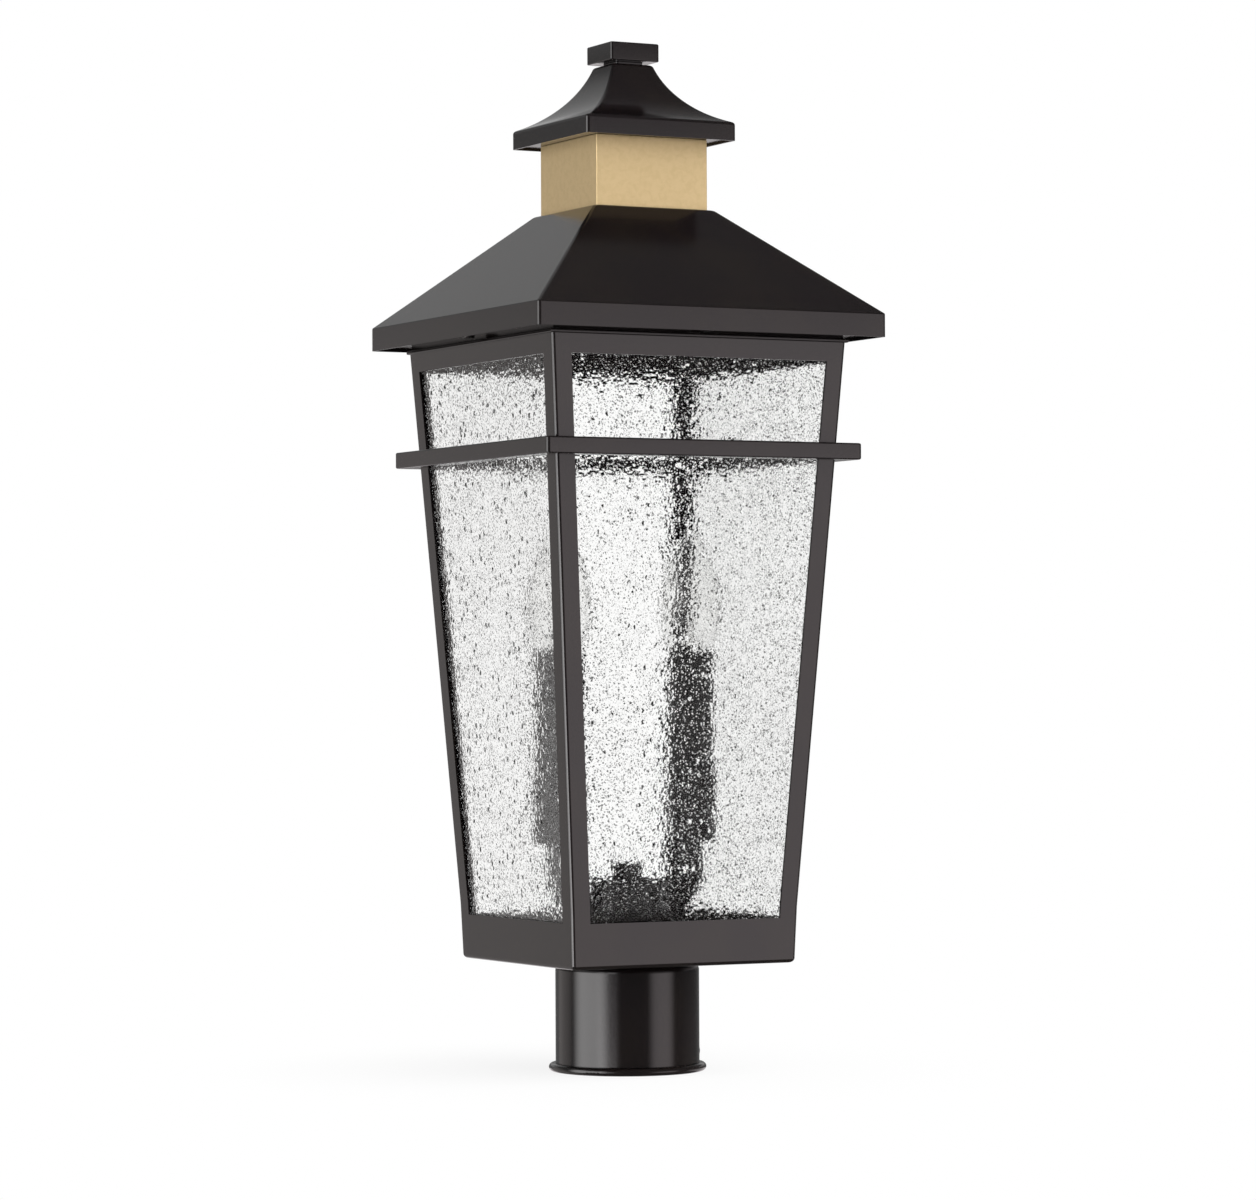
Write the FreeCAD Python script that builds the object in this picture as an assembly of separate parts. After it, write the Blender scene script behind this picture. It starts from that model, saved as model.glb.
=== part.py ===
import FreeCAD, Part
import math
import os
from FreeCAD import Vector

# Post top lantern: a glazed square cage that tapers down to a tube fitter, under a hipped
# roof with a brass neck and a swept cap roof. Millimetres, +Z up. The origin is on the
# axis at the bottom of the fitter's rolled lip. Front is -Y, right is +X.

# ---- sheet metal and clearances ----
frame_sheet = 1.4          # cage posts, rails and pan
roof_sheet = 1.2           # both roof shells, the brass neck and the plate on it
thread_clearance = 0.05    # radial gap of a screw, rod or nipple in its threaded hole
hole_clearance = 0.3       # radial gap of a screw, rod or nipple in a plain hole
slip_clearance = 0.2       # radial gap between tubes that slip over each other

# ---- post fitter ----
fitter_outer_radius = 41.3
fitter_wall = 1.6
fitter_height = 62.0
fitter_shoulder_radius = 4.5
post_depth = 49.0          # straight bore for the post, up to the stop
post_stop_wall = 1.6       # skirt inside the top of the tube, which stops the post
lip_bead_radius = 2.3
lip_reach = 3.9            # how far the rolled lip stands out from the tube
gasket_thickness = 1.0
gasket_radius = 32.0

# ---- set screws that clamp the post ----
set_screw_radius = 3.0
set_screw_head_radius = 4.0
set_screw_head_thickness = 2.2
set_screw_travel = 1.9
set_screw_height = 9.6
set_screw_edge_round = 0.7
socket_key_radius = 1.6
socket_key_depth = 1.4

# ---- glazed cage ----
cage_height = 351.4        # from the underside of the pan to the top of the posts
cage_bottom_half = 70.9
kink_height = 32.0         # the taper changes here, measured from the pan's underside
kink_half = 72.1
cage_top_half = 93.2
post_leg = 11.5
post_edge_radius = 1.2
pan_wall_height = 25.7
top_rail_height = 10.7
bead_height = 2.2
bead_reach = 1.1           # how far the bead under the eave stands out from the posts
bead_edge_radius = 0.8
collar_height = 2.4        # lifts the soffit above the bead
collar_setback = 1.2

# ---- glass ----
glass_thickness = 3.0
glass_hidden_edge = 6.0    # glass behind the top rail and behind the pan wall
glass_corner_gap = 1.3     # side gap between neighbouring panes
clip_width = 8.0
clip_sheet = 0.8
clip_height = 5.0
clip_spacing = 70.0

# ---- band around the cage ----
band_bottom = 284.9        # measured from the pan's underside
band_height = 9.4
band_reach = 10.9          # how far the band stands out from the cage, at the band's underside
band_edge_radius = 0.8
band_corner_radius = 1.2

# ---- soffit, fixed on top of the cage ----
soffit_ledge = 6.6         # how far the soffit reaches inside the rails that carry it
soffit_edge_gap = 1.2      # gap to the inside of the roof's fascia

# ---- main roof ----
eave_overhang = 16.7       # how far the fascia stands out from the top of the cage
fascia_height = 13.2
fascia_drop = 3.3          # how far the fascia hangs below the soffit's top
roof_rise = 62.1
roof_top_ledge = 3.0       # flat top round the brass neck
roof_top_round = 4.0
fascia_round = 0.8

# ---- screws that hold the roof on the soffit ----
roof_screw_radius = 2.0
roof_screw_head_radius = 3.6
roof_screw_head_thickness = 1.7
roof_screw_head_round = 0.8
roof_screw_length = 9.0
roof_screw_inset = 10.4    # from the outside of the fascia to the screw's axis
driver_slot_width = 0.9
driver_slot_depth = 0.8
bracket_width = 16.0
bracket_sheet = 1.5
bracket_leg = 8.6
bracket_foot = 16.0

# ---- brass neck and cap roof ----
neck_half = 35.6
neck_height = 40.6
cap_overhang = 12.3        # how far the cap roof stands out from the neck
cap_fascia_drop = 1.2      # fascia below the plate that closes the cap roof
cap_roof_height = 45.5     # from the bottom of its fascia to its flat top
cap_sweep_radius = 56.1
cap_sweep_out = 18.3       # centre of the sweep, outside the fascia
cap_sweep_up = 17.9        # centre of the sweep, above the flat top
cap_top_round = 2.2
cap_fascia_round = 2.0
cap_corner_radius = 1.0

# ---- finial ----
finial_stem_half = 8.6
finial_stem_height = 1.6
finial_half = 15.6
finial_height = 10.4
finial_corner_radius = 0.8
finial_bore_depth = 7.0

# ---- rod that ties the roof together ----
rod_radius = 3.0
rod_tail = 2.5             # rod below its nut
rod_nut_flats = 10.0
rod_nut_height = 5.0
rod_washer_radius = 9.0
rod_washer_thickness = 1.5

# ---- lamp cluster ----
nipple_radius = 5.1
nipple_bore_radius = 3.5
nipple_tail = 5.0          # nipple below the locknut
nipple_slot_width = 4.6
nipple_slot_height = 12.0
nipple_slot_drop = 2.0     # middle of the slot below the arms' level
locknut_flats = 16.0
locknut_height = 4.0
locknut_washer_radius = 12.0
locknut_washer_thickness = 1.4
pedestal_radius = 9.0
pedestal_height = 19.4
pedestal_flange = 1.5
hub_radius = 24.0
hub_height = 26.0
hub_wall = 1.5
cap_nut_flats = 16.4
cap_nut_height = 9.0
cap_nut_bore_depth = 6.5
arm_radius = 6.35
arm_wall = 1.2
arm_bend_radius = 20.6
arm_rise = 16.0            # straight upright part of the arm
arm_drop = 15.6            # arm's level below the hub's top
arm_in_hub = 2.0
candle_half_spacing = 42.0
cup_radius = 13.9
cup_wall = 1.2
cup_floor = 1.5
cup_height = 38.0
sleeve_radius = 12.5
sleeve_wall = 1.2
sleeve_rim = 10.0          # sleeve above the top of the socket
arm_nipple_radius = 4.85
arm_nipple_length = 14.0
holder_sheet = 1.2
holder_width = 7.0
holder_foot_radius = 7.5
holder_grip = 12.5         # height of the strap beside the socket

# ---- lamp holders ----
holder_to_socket = 73.5    # from the cup's floor to the underside of the socket
socket_radius = 9.2
socket_height = 25.0
socket_floor = 4.0
socket_shell_radius = 6.6
socket_shell_wall = 0.45
contact_radius = 2.0
contact_height = 2.0

# ---- bulbs ----
bulb_base_clearance = 0.15
bulb_tip_height = 1.5
bulb_tip_radius = 2.2
bulb_base_height = 18.0
bulb_neck_radius = 6.2
bulb_neck_flare = 0.2      # outward for each millimetre up, where the glass leaves its base
bulb_shoulder_radius = 13.2
bulb_shoulder_rise = 4.9   # above the sleeve's rim; the other heights of the glass are above its base
bulb_belly_radius = 17.5
bulb_belly_height = 32.0
bulb_taper_radius = 11.9
bulb_taper_height = 61.8
bulb_height = 80.0
bulb_wall = 0.8
stem_radius = 2.6
stem_height = 24.0
support_radius = 0.35
support_foot = 1.3         # a support wire's foot, from the stem's axis
support_spread = 5.0
support_weld_radius = 0.55
filament_rise = 14.0

# ---- wires inside the arms ----
lead_radius = 1.5
lead_half_gap = 1.7
lead_turn_radius = 5.0

# ---- ground screw ----
ground_screw_place = 36.0
ground_screw_radius = 1.9
ground_screw_flats = 7.0
ground_screw_head = 3.0
ground_screw_length = 6.0

# ---- levels worked out from the sizes above ----
fitter_inner_radius = fitter_outer_radius - fitter_wall
pan_bottom = fitter_height + gasket_thickness
kink_level = pan_bottom + kink_height
cage_top = pan_bottom + cage_height
eave_half = cage_top_half + eave_overhang
rail_collar_half = cage_top_half - collar_setback
soffit_opening_half = rail_collar_half - frame_sheet - soffit_ledge
roof_top_half = neck_half + roof_top_ledge
cap_roof_half = neck_half + cap_overhang
pan_top = pan_bottom + pan_wall_height
glass_bottom = pan_top - glass_hidden_edge
glass_top = cage_top - top_rail_height + glass_hidden_edge
floor_top = pan_bottom + frame_sheet
bead_top = cage_top + bead_height
soffit_bottom = bead_top + collar_height
soffit_top = soffit_bottom + frame_sheet
fascia_bottom = soffit_top - fascia_drop
eave_level = fascia_bottom + fascia_height
roof_top = eave_level + roof_rise
neck_top = roof_top + neck_height
cap_bottom = neck_top - cap_fascia_drop
cap_top = cap_bottom + cap_roof_height
finial_bottom = cap_top + finial_stem_height
hub_bottom = floor_top + pedestal_height
hub_top = hub_bottom + hub_height
arm_level = hub_top - arm_drop
cup_bottom = arm_level + arm_bend_radius + arm_rise
cup_floor_top = cup_bottom + cup_floor
socket_bottom = cup_floor_top + holder_to_socket
socket_top = socket_bottom + socket_height
sleeve_top = socket_top + sleeve_rim
bulb_base_radius = socket_shell_radius - socket_shell_wall - bulb_base_clearance
bulb_bottom = socket_bottom + socket_floor + contact_height
bulb_neck_level = bulb_bottom + bulb_tip_height + bulb_base_height

SIDES = ("front", "right", "back", "left")
CORNERS = ("front_right", "back_right", "back_left", "front_left")
LAMPS = (("left", -candle_half_spacing), ("right", candle_half_spacing))
UP = Vector(0, 0, 1)
REACH = 4 * eave_half      # longer than anything it cuts
OVERRUN = 1.0              # how far a cutting tool passes the face it cuts
LEAST_ROUND = 0.1          # bend left inside a corner that the sheet fills


# ---- shapes ----
def cylinder(radius, bottom, top, x=0.0, y=0.0):
    return Part.makeCylinder(radius, top - bottom, Vector(x, y, bottom), UP)


def ring(outer, inner, bottom, top, x=0.0, y=0.0):
    hole = cylinder(inner, bottom - OVERRUN, top + OVERRUN, x, y)
    return cylinder(outer, bottom, top, x, y).cut(hole)


def box(low, high):
    size = [b - a for a, b in zip(low, high)]
    return Part.makeBox(size[0], size[1], size[2], Vector(*low))


def square_block(half, bottom, top):
    return box((-half, -half, bottom), (half, half, top))


def rounded_block(half, bottom, top, radius):
    """Square block whose four upright edges are rounded."""
    block = square_block(half, bottom, top)
    upright = [e for e in block.Edges if abs(e.BoundBox.ZLength - (top - bottom)) < 1e-6]
    return block.makeFillet(radius, upright)


def hexagon(flats, bottom, top, x=0.0, y=0.0):
    corner = flats / math.sqrt(3)
    points = [Vector(x + corner * math.cos(math.radians(60 * i)),
                     y + corner * math.sin(math.radians(60 * i)), bottom) for i in range(7)]
    return Part.Face(Part.makePolygon(points)).extrude(Vector(0, 0, top - bottom))


def block_between(low_rect, bottom, high_rect, top):
    """Solid between two rectangles (x0, y0, x1, y1) at two heights, all faces flat."""
    def corners(rect, z):
        x0, y0, x1, y1 = rect
        return [Vector(x0, y0, z), Vector(x1, y0, z), Vector(x1, y1, z), Vector(x0, y1, z)]
    low = corners(low_rect, bottom)
    high = corners(high_rect, top)
    loops = [low, high]
    for i in range(4):
        j = (i + 1) % 4
        loops.append([low[i], low[j], high[j], high[i]])
    shell = Part.makeShell([Part.Face(Part.makePolygon(loop + loop[:1])) for loop in loops])
    shell.sewShape()
    solid = Part.makeSolid(shell)
    if solid.Volume < 0:
        solid.reverse()
    return solid


def turned(shape, quarter):
    """Copy of a shape turned by quarter turns about the axis of the lantern."""
    copy = shape.copy()
    copy.rotate(Vector(0, 0, 0), UP, 90 * quarter)
    return copy


def mitre_wedge(bottom, top):
    """Quarter of the plan that belongs to the front side."""
    plan = [Vector(0, 0, bottom), Vector(-REACH, -REACH, bottom), Vector(REACH, -REACH, bottom)]
    return Part.Face(Part.makePolygon(plan + plan[:1])).extrude(Vector(0, 0, top - bottom))


def corner_arc(before, corner, after, radius):
    """Tangent points and middle of the arc that rounds a corner of an outline in X and Z."""
    to_before = (before - corner).normalize()
    to_after = (after - corner).normalize()
    half_angle = to_before.getAngle(to_after) / 2
    middle_line = (to_before + to_after).normalize()
    reach = radius / math.tan(half_angle)
    centre = corner + middle_line * (radius / math.sin(half_angle))
    return corner + to_before * reach, centre - middle_line * radius, corner + to_after * reach


def outline_face(points, radii):
    """Flat face in the XZ plane with its corners rounded by the radii given."""
    vectors = [Vector(x, 0, z) for x, z in points]
    count = len(vectors)
    edges = []
    stops = []
    for i, radius in enumerate(radii):
        if radius > 0:
            first, middle, last = corner_arc(vectors[i - 1], vectors[i], vectors[(i + 1) % count], radius)
            edges.append(Part.Arc(first, middle, last).toShape())
        else:
            first = last = vectors[i]
        stops.append((first, last))
    for i in range(count):
        start = stops[i][1]
        end = stops[(i + 1) % count][0]
        if start.distanceToPoint(end) > 1e-6:
            edges.append(Part.makeLine(start, end))
    return Part.Face(Part.Wire(Part.__sortEdges__(edges)))


def hipped(face):
    """Square-plan solid whose upright section, in both directions, is the face."""
    along_y = face.copy()
    along_y.translate(Vector(0, -REACH / 2, 0))
    along_y = along_y.extrude(Vector(0, REACH, 0))
    return along_y.common(turned(along_y, 1))


# ---- post fitter ----
def post_fitter():
    tube = cylinder(fitter_outer_radius, lip_bead_radius, fitter_height)
    top_edges = [e for e in tube.Edges
                 if isinstance(e.Curve, Part.Circle) and abs(e.BoundBox.ZMin - fitter_height) < 1e-6]
    tube = tube.makeFillet(fitter_shoulder_radius, top_edges)
    bead_circle = fitter_outer_radius + lip_reach - lip_bead_radius
    lip = Part.makeTorus(bead_circle, lip_bead_radius, Vector(0, 0, lip_bead_radius), UP)
    lip = lip.fuse(cylinder(bead_circle, 0, 2 * lip_bead_radius))
    stop_radius = fitter_inner_radius - post_stop_wall
    inside = cylinder(stop_radius, post_depth, fitter_height - fitter_wall)
    inner_edges = [e for e in inside.Edges if isinstance(e.Curve, Part.Circle)
                   and abs(e.BoundBox.ZMin - (fitter_height - fitter_wall)) < 1e-6]
    inside = inside.makeFillet(fitter_shoulder_radius - fitter_wall - post_stop_wall, inner_edges)
    inside = inside.fuse(Part.makeCone(fitter_inner_radius, stop_radius, post_stop_wall,
                                       Vector(0, 0, post_depth)))
    inside = inside.fuse(cylinder(fitter_inner_radius, -OVERRUN, post_depth))
    body = tube.fuse(lip).cut(inside)
    body = body.cut(cylinder(nipple_radius + hole_clearance, 0, fitter_height + OVERRUN))
    for quarter in (0, 1):
        hole = Part.makeCylinder(set_screw_radius + thread_clearance, 2 * fitter_outer_radius,
                                 Vector(0, 0, set_screw_height), Vector(1, 0, 0))
        body = body.cut(turned(hole, quarter))
    return body.removeSplitter()


def set_screw():
    """Screw in the right side of the fitter, its tip level with the inside of the tube."""
    head_start = fitter_outer_radius + set_screw_travel
    head_end = head_start + set_screw_head_thickness
    axis = Vector(1, 0, 0)

    def bar(radius, start, end):
        return Part.makeCylinder(radius, end - start, Vector(start, 0, set_screw_height), axis)
    head = bar(set_screw_head_radius, head_start, head_end)
    rim = [e for e in head.Edges if isinstance(e.Curve, Part.Circle) and e.BoundBox.XMin > head_end - 1e-6]
    head = head.makeFillet(set_screw_edge_round, rim)
    screw = head.fuse(bar(set_screw_radius, fitter_inner_radius, head_start))
    return screw.cut(bar(socket_key_radius, head_end - socket_key_depth, head_end + OVERRUN)).removeSplitter()


def fitter_gasket():
    return ring(gasket_radius, nipple_radius + hole_clearance, fitter_height, pan_bottom)


# ---- cage ----
def cage_half(z):
    """Half width over the outside of the cage at a height."""
    if z < kink_level:
        share = (z - pan_bottom) / kink_height
        return cage_bottom_half + share * (kink_half - cage_bottom_half)
    share = (z - kink_level) / (cage_top - kink_level)
    return kink_half + share * (cage_top_half - kink_half)


def pane_half(z):
    """Half width over the outside of the flat panes, which end behind the pan and the rails."""
    slope = (cage_top_half - kink_half) / (cage_top - kink_level)
    foot_half = min(kink_half + (glass_bottom - kink_level) * slope, cage_half(glass_bottom))
    share = (z - glass_bottom) / (glass_top - glass_bottom)
    return foot_half + share * (cage_half(glass_top) - foot_half) - frame_sheet


def cage_volume():
    lower = square_between(pan_bottom, kink_level)
    return lower.fuse(square_between(kink_level, cage_top))


def square_between(bottom, top):
    low = cage_half(bottom)
    high = cage_half(top)
    return block_between((-low, -low, low, low), bottom, (-high, -high, high, high), top)


def corner_post():
    """Angle section that leans outwards, with a kink; this one stands at the back right."""
    def section(z):
        a = cage_half(z)
        outside = a - post_leg
        inside = a - frame_sheet
        r = post_edge_radius
        turn = r * (1 - math.sqrt(0.5))
        arc = Part.Arc(Vector(a, a - r, z), Vector(a - turn, a - turn, z), Vector(a - r, a, z)).toShape()
        rest = Part.makePolygon([Vector(a - r, a, z), Vector(outside, a, z), Vector(outside, inside, z),
                                 Vector(inside, inside, z), Vector(inside, outside, z),
                                 Vector(a, outside, z), Vector(a, a - r, z)])
        return Part.Face(Part.Wire([arc] + rest.Edges))

    def leaning(bottom, top):
        step = cage_half(top) - cage_half(bottom)
        return section(bottom).extrude(Vector(step, step, top - bottom))
    return leaning(pan_bottom, kink_level).fuse(leaning(kink_level, cage_top)).removeSplitter()


def wall_plate(bottom, top):
    """Flat plate of the front side, between the two posts."""
    def rect(z):
        a = cage_half(z)
        return (-(a - post_leg), -a, a - post_leg, -(a - frame_sheet))
    return block_between(rect(bottom), bottom, rect(top), top)


def base_pan():
    """Folded pan: a floor inside the posts and four walls that fill the gaps between them."""
    low = cage_half(pan_bottom) - frame_sheet
    high = cage_half(floor_top) - frame_sheet
    pan = block_between((-low, -low, low, low), pan_bottom, (-high, -high, high, high), floor_top)
    for quarter in range(4):
        pan = pan.fuse(turned(wall_plate(pan_bottom, pan_top), quarter))
    pan = pan.cut(cylinder(nipple_radius + hole_clearance, pan_bottom - OVERRUN, floor_top + OVERRUN))
    screw_hole = cylinder(ground_screw_radius + thread_clearance, pan_bottom - OVERRUN,
                          floor_top + OVERRUN, ground_screw_place, ground_screw_place)
    return pan.cut(screw_hole).removeSplitter()


def top_rail():
    """Front rail above the glass, with the bead under the eave and the collar for the soffit."""
    bead_half = cage_top_half + bead_reach
    inner = rail_collar_half - frame_sheet
    points = [(-bead_half, cage_top), (-bead_half, bead_top), (-rail_collar_half, bead_top),
              (-rail_collar_half, soffit_bottom), (-inner, soffit_bottom), (-inner, cage_top)]
    radii = [bead_edge_radius, bead_edge_radius, 0, 0, 0, 0]
    section = outline_face(points, radii)
    section.rotate(Vector(0, 0, 0), UP, 90)
    section.translate(Vector(-REACH / 2, 0, 0))
    bar = section.extrude(Vector(REACH, 0, 0)).common(mitre_wedge(cage_top, soffit_bottom))
    rail = bar.fuse(wall_plate(cage_top - top_rail_height, cage_top))
    return rail.removeSplitter()


def mid_band():
    """Square bars mitred round the outside of the cage, one solid for each side."""
    bottom = pan_bottom + band_bottom
    top = bottom + band_height
    band_half = cage_half(bottom) + band_reach
    points = [(-band_half, bottom), (-band_half, top), (0, top), (0, bottom)]
    section = outline_face(points, [band_edge_radius, band_edge_radius, 0, 0])
    section.rotate(Vector(0, 0, 0), UP, 90)
    section.translate(Vector(-REACH / 2, 0, 0))
    bar = section.extrude(Vector(REACH, 0, 0)).common(mitre_wedge(bottom, top))
    bar = bar.common(rounded_block(band_half, bottom, top, band_corner_radius))
    bar = bar.cut(cage_volume())
    return Part.makeCompound([turned(bar, quarter) for quarter in range(4)])


def soffit_plate():
    plate = square_block(eave_half - roof_sheet - soffit_edge_gap, soffit_bottom, soffit_top)
    plate = plate.cut(square_block(soffit_opening_half, soffit_bottom - OVERRUN, soffit_top + OVERRUN))
    hole = cylinder(roof_screw_radius + hole_clearance, soffit_bottom - OVERRUN, soffit_top + OVERRUN,
                    0, -(eave_half - roof_screw_inset))
    for quarter in range(4):
        plate = plate.cut(turned(hole, quarter))
    return plate


# ---- glass ----
def glass_pane():
    """Front pane: a flat sheet that leans with the cage, behind the posts and rails."""
    def rect(z):
        face = pane_half(z)
        side = face - glass_thickness - glass_corner_gap
        return (-side, -face, side, -(face - glass_thickness))
    return block_between(rect(glass_bottom), glass_bottom, rect(glass_top), glass_top)


def glass_clips():
    """Spring tabs that press each pane's edges against the rail and the pan wall."""
    clips = []
    for quarter in range(4):
        for x in (-clip_spacing / 2, clip_spacing / 2):
            for edge, away in ((glass_top, 1), (glass_bottom, -1)):
                clips.append(turned(glass_clip(x, edge, away), quarter))
    return Part.makeCompound(clips)


def glass_clip(x, edge, away):
    """One clip: a shelf past the glass's edge and a tongue behind the glass."""
    def slab(z0, z1, outer, inner):
        low, high = min(z0, z1), max(z0, z1)
        x0, x1 = x - clip_width / 2, x + clip_width / 2
        low_rect = (x0, -outer(low), x1, -inner(low))
        high_rect = (x0, -outer(high), x1, -inner(high))
        return block_between(low_rect, low, high_rect, high)

    def wall(z):
        return cage_half(z) - frame_sheet

    def glass_back(z):
        return pane_half(z) - glass_thickness

    def tongue_back(z):
        return glass_back(z) - clip_sheet
    shelf = slab(edge, edge + away * clip_sheet, wall, tongue_back)
    tongue = slab(edge - away * clip_height, edge, glass_back, tongue_back)
    return shelf.fuse(tongue).removeSplitter()


# ---- roof ----
def main_roof_face(inset):
    """Upright section of the main roof, taken in by the sheet for its inside."""
    slope = math.atan2(roof_rise, eave_half - roof_top_half)
    half = eave_half - inset
    shift = inset / math.cos(slope) - inset * math.tan(slope)
    eave = eave_level - shift
    top = roof_top - inset
    top_half = half - (top - eave) / math.tan(slope)
    bottom = fascia_bottom - (OVERRUN if inset else 0)
    left = [(-half, bottom), (-half, eave), (-top_half, top)]
    right = [(top_half, top), (half, eave), (half, bottom)]
    bend = fascia_round if not inset else 0
    crown = roof_top_round - inset
    return outline_face(left + right, [0, bend, crown, crown, bend, 0])


def main_roof():
    shell = hipped(main_roof_face(0))
    shell = shell.common(rounded_block(eave_half, fascia_bottom, roof_top, fascia_round))
    shell = shell.cut(hipped(main_roof_face(roof_sheet)))
    return shell.cut(cylinder(rod_radius + hole_clearance, fascia_bottom, roof_top + OVERRUN))


def brass_neck():
    tube = square_block(neck_half, roof_top, neck_top)
    return tube.cut(square_block(neck_half - roof_sheet, roof_top - OVERRUN, neck_top + OVERRUN))


def cap_roof_face(inset):
    """Upright section of the cap roof: fascia, concave sweep and flat top."""
    centre = Vector(cap_roof_half + cap_sweep_out, 0, cap_top + cap_sweep_up)
    sweep = cap_sweep_radius + inset
    half = cap_roof_half - inset
    top = cap_top - inset
    bottom = cap_bottom - (OVERRUN if inset else 0)
    edge_round = max(cap_fascia_round - inset, LEAST_ROUND)
    crown_round = max(cap_top_round - inset, LEAST_ROUND)
    low_x = half - edge_round
    low = Vector(low_x, 0, centre.z - math.sqrt((sweep + edge_round) ** 2 - (low_x - centre.x) ** 2))
    high_z = top - crown_round
    high = Vector(centre.x - math.sqrt((sweep + crown_round) ** 2 - (high_z - centre.z) ** 2), 0, high_z)

    def on(middle, radius, angle):
        return middle + Vector(math.cos(angle), 0, math.sin(angle)) * radius

    def angle_of(vector):
        return math.atan2(vector.z, vector.x)

    def arc(middle, radius, start, end):
        return Part.Arc(on(middle, radius, start), on(middle, radius, (start + end) / 2),
                        on(middle, radius, end)).toShape()
    low_touch = angle_of(centre - low)
    high_touch = angle_of(centre - high)
    low_edge = arc(low, edge_round, 0, low_touch)
    high_edge = arc(high, crown_round, high_touch, math.pi / 2)
    sweep_edge = arc(centre, sweep, low_touch - math.pi, high_touch - math.pi)
    fascia = Part.makeLine(Vector(half, 0, bottom), Vector(half, 0, low.z))
    right = [fascia, low_edge, sweep_edge, high_edge]
    left = [e.mirror(Vector(0, 0, 0), Vector(1, 0, 0)) for e in right]
    closing = [Part.makeLine(Vector(-half, 0, bottom), Vector(half, 0, bottom)),
               Part.makeLine(Vector(-high.x, 0, top), Vector(high.x, 0, top))]
    return Part.Face(Part.Wire(Part.__sortEdges__(right + left + closing)))


def cap_roof():
    shell = hipped(cap_roof_face(0))
    shell = shell.common(rounded_block(cap_roof_half, cap_bottom, cap_top, cap_corner_radius))
    shell = shell.cut(hipped(cap_roof_face(roof_sheet)))
    return shell.cut(cylinder(rod_radius + hole_clearance, cap_bottom, cap_top + OVERRUN))


def cap_plate():
    """Plate that closes the cap roof and sits on the brass neck."""
    plate = square_block(cap_roof_half - roof_sheet, neck_top, neck_top + roof_sheet)
    hole = cylinder(rod_radius + hole_clearance, neck_top - OVERRUN, neck_top + roof_sheet + OVERRUN)
    return plate.cut(hole)


def finial():
    block = rounded_block(finial_half, finial_bottom, finial_bottom + finial_height, finial_corner_radius)
    block = block.fuse(square_block(finial_stem_half, cap_top, finial_bottom + OVERRUN))
    bore = cylinder(rod_radius + thread_clearance, cap_top - OVERRUN, finial_bottom + finial_bore_depth)
    return block.cut(bore).removeSplitter()


def rod_washer_bottom():
    return roof_top - roof_sheet - rod_washer_thickness


def roof_rod():
    bottom = rod_washer_bottom() - rod_nut_height - rod_tail
    return cylinder(rod_radius, bottom, finial_bottom + finial_bore_depth)


def rod_nut():
    """Flanged nut under the flat top of the main roof."""
    flange_bottom = rod_washer_bottom()
    nut = hexagon(rod_nut_flats, flange_bottom - rod_nut_height, flange_bottom)
    nut = nut.fuse(cylinder(rod_washer_radius, flange_bottom, flange_bottom + rod_washer_thickness))
    bore = cylinder(rod_radius + thread_clearance, flange_bottom - rod_nut_height - OVERRUN, roof_top)
    return nut.cut(bore).removeSplitter()


def roof_brackets():
    """Angles inside the fascia, one a side, that rest on the soffit and take the screws."""
    wall = -(eave_half - roof_sheet)
    half = bracket_width / 2
    foot = box((-half, wall, soffit_top), (half, wall + bracket_foot, soffit_top + bracket_sheet))
    leg = box((-half, wall, soffit_top), (half, wall + bracket_sheet, soffit_top + bracket_leg))
    hole = cylinder(roof_screw_radius + thread_clearance, soffit_top - OVERRUN,
                    soffit_top + bracket_leg, 0, -(eave_half - roof_screw_inset))
    angle = foot.fuse(leg).cut(hole).removeSplitter()
    return Part.makeCompound([turned(angle, quarter) for quarter in range(4)])


def roof_screw():
    y = -(eave_half - roof_screw_inset)
    head_bottom = soffit_bottom - roof_screw_head_thickness
    head = cylinder(roof_screw_head_radius, head_bottom, soffit_bottom, 0, y)
    rim = [e for e in head.Edges if isinstance(e.Curve, Part.Circle) and e.BoundBox.ZMax < head_bottom + 1e-6]
    head = head.makeFillet(roof_screw_head_round, rim)
    slot = box((-roof_screw_head_radius, y - driver_slot_width / 2, head_bottom - OVERRUN),
               (roof_screw_head_radius, y + driver_slot_width / 2, head_bottom + driver_slot_depth))
    screw = head.fuse(cylinder(roof_screw_radius, soffit_bottom, soffit_bottom + roof_screw_length, 0, y))
    return screw.cut(slot).removeSplitter()


# ---- lamp cluster ----
def locknut_top():
    return fitter_height - fitter_wall - locknut_washer_thickness


def center_nipple():
    bottom = locknut_top() - locknut_height - nipple_tail
    top = hub_top + cap_nut_bore_depth
    tube = ring(nipple_radius, nipple_bore_radius, bottom, top)
    slot_middle = arm_level - nipple_slot_drop
    slot = box((-2 * nipple_radius, -nipple_slot_width / 2, slot_middle - nipple_slot_height / 2),
               (2 * nipple_radius, nipple_slot_width / 2, slot_middle + nipple_slot_height / 2))
    return tube.cut(slot)


def fitter_washer():
    return ring(locknut_washer_radius, nipple_radius + hole_clearance, locknut_top(),
                locknut_top() + locknut_washer_thickness)


def fitter_locknut():
    nut = hexagon(locknut_flats, locknut_top() - locknut_height, locknut_top())
    return nut.cut(cylinder(nipple_radius + thread_clearance, 0, hub_top))


def hub_pedestal():
    body = cylinder(pedestal_radius, floor_top, hub_bottom + OVERRUN)
    body = body.fuse(cylinder(hub_radius - hub_wall, hub_bottom, hub_bottom + pedestal_flange))
    return body.cut(cylinder(nipple_radius + hole_clearance, floor_top - OVERRUN, hub_top)).removeSplitter()


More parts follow.
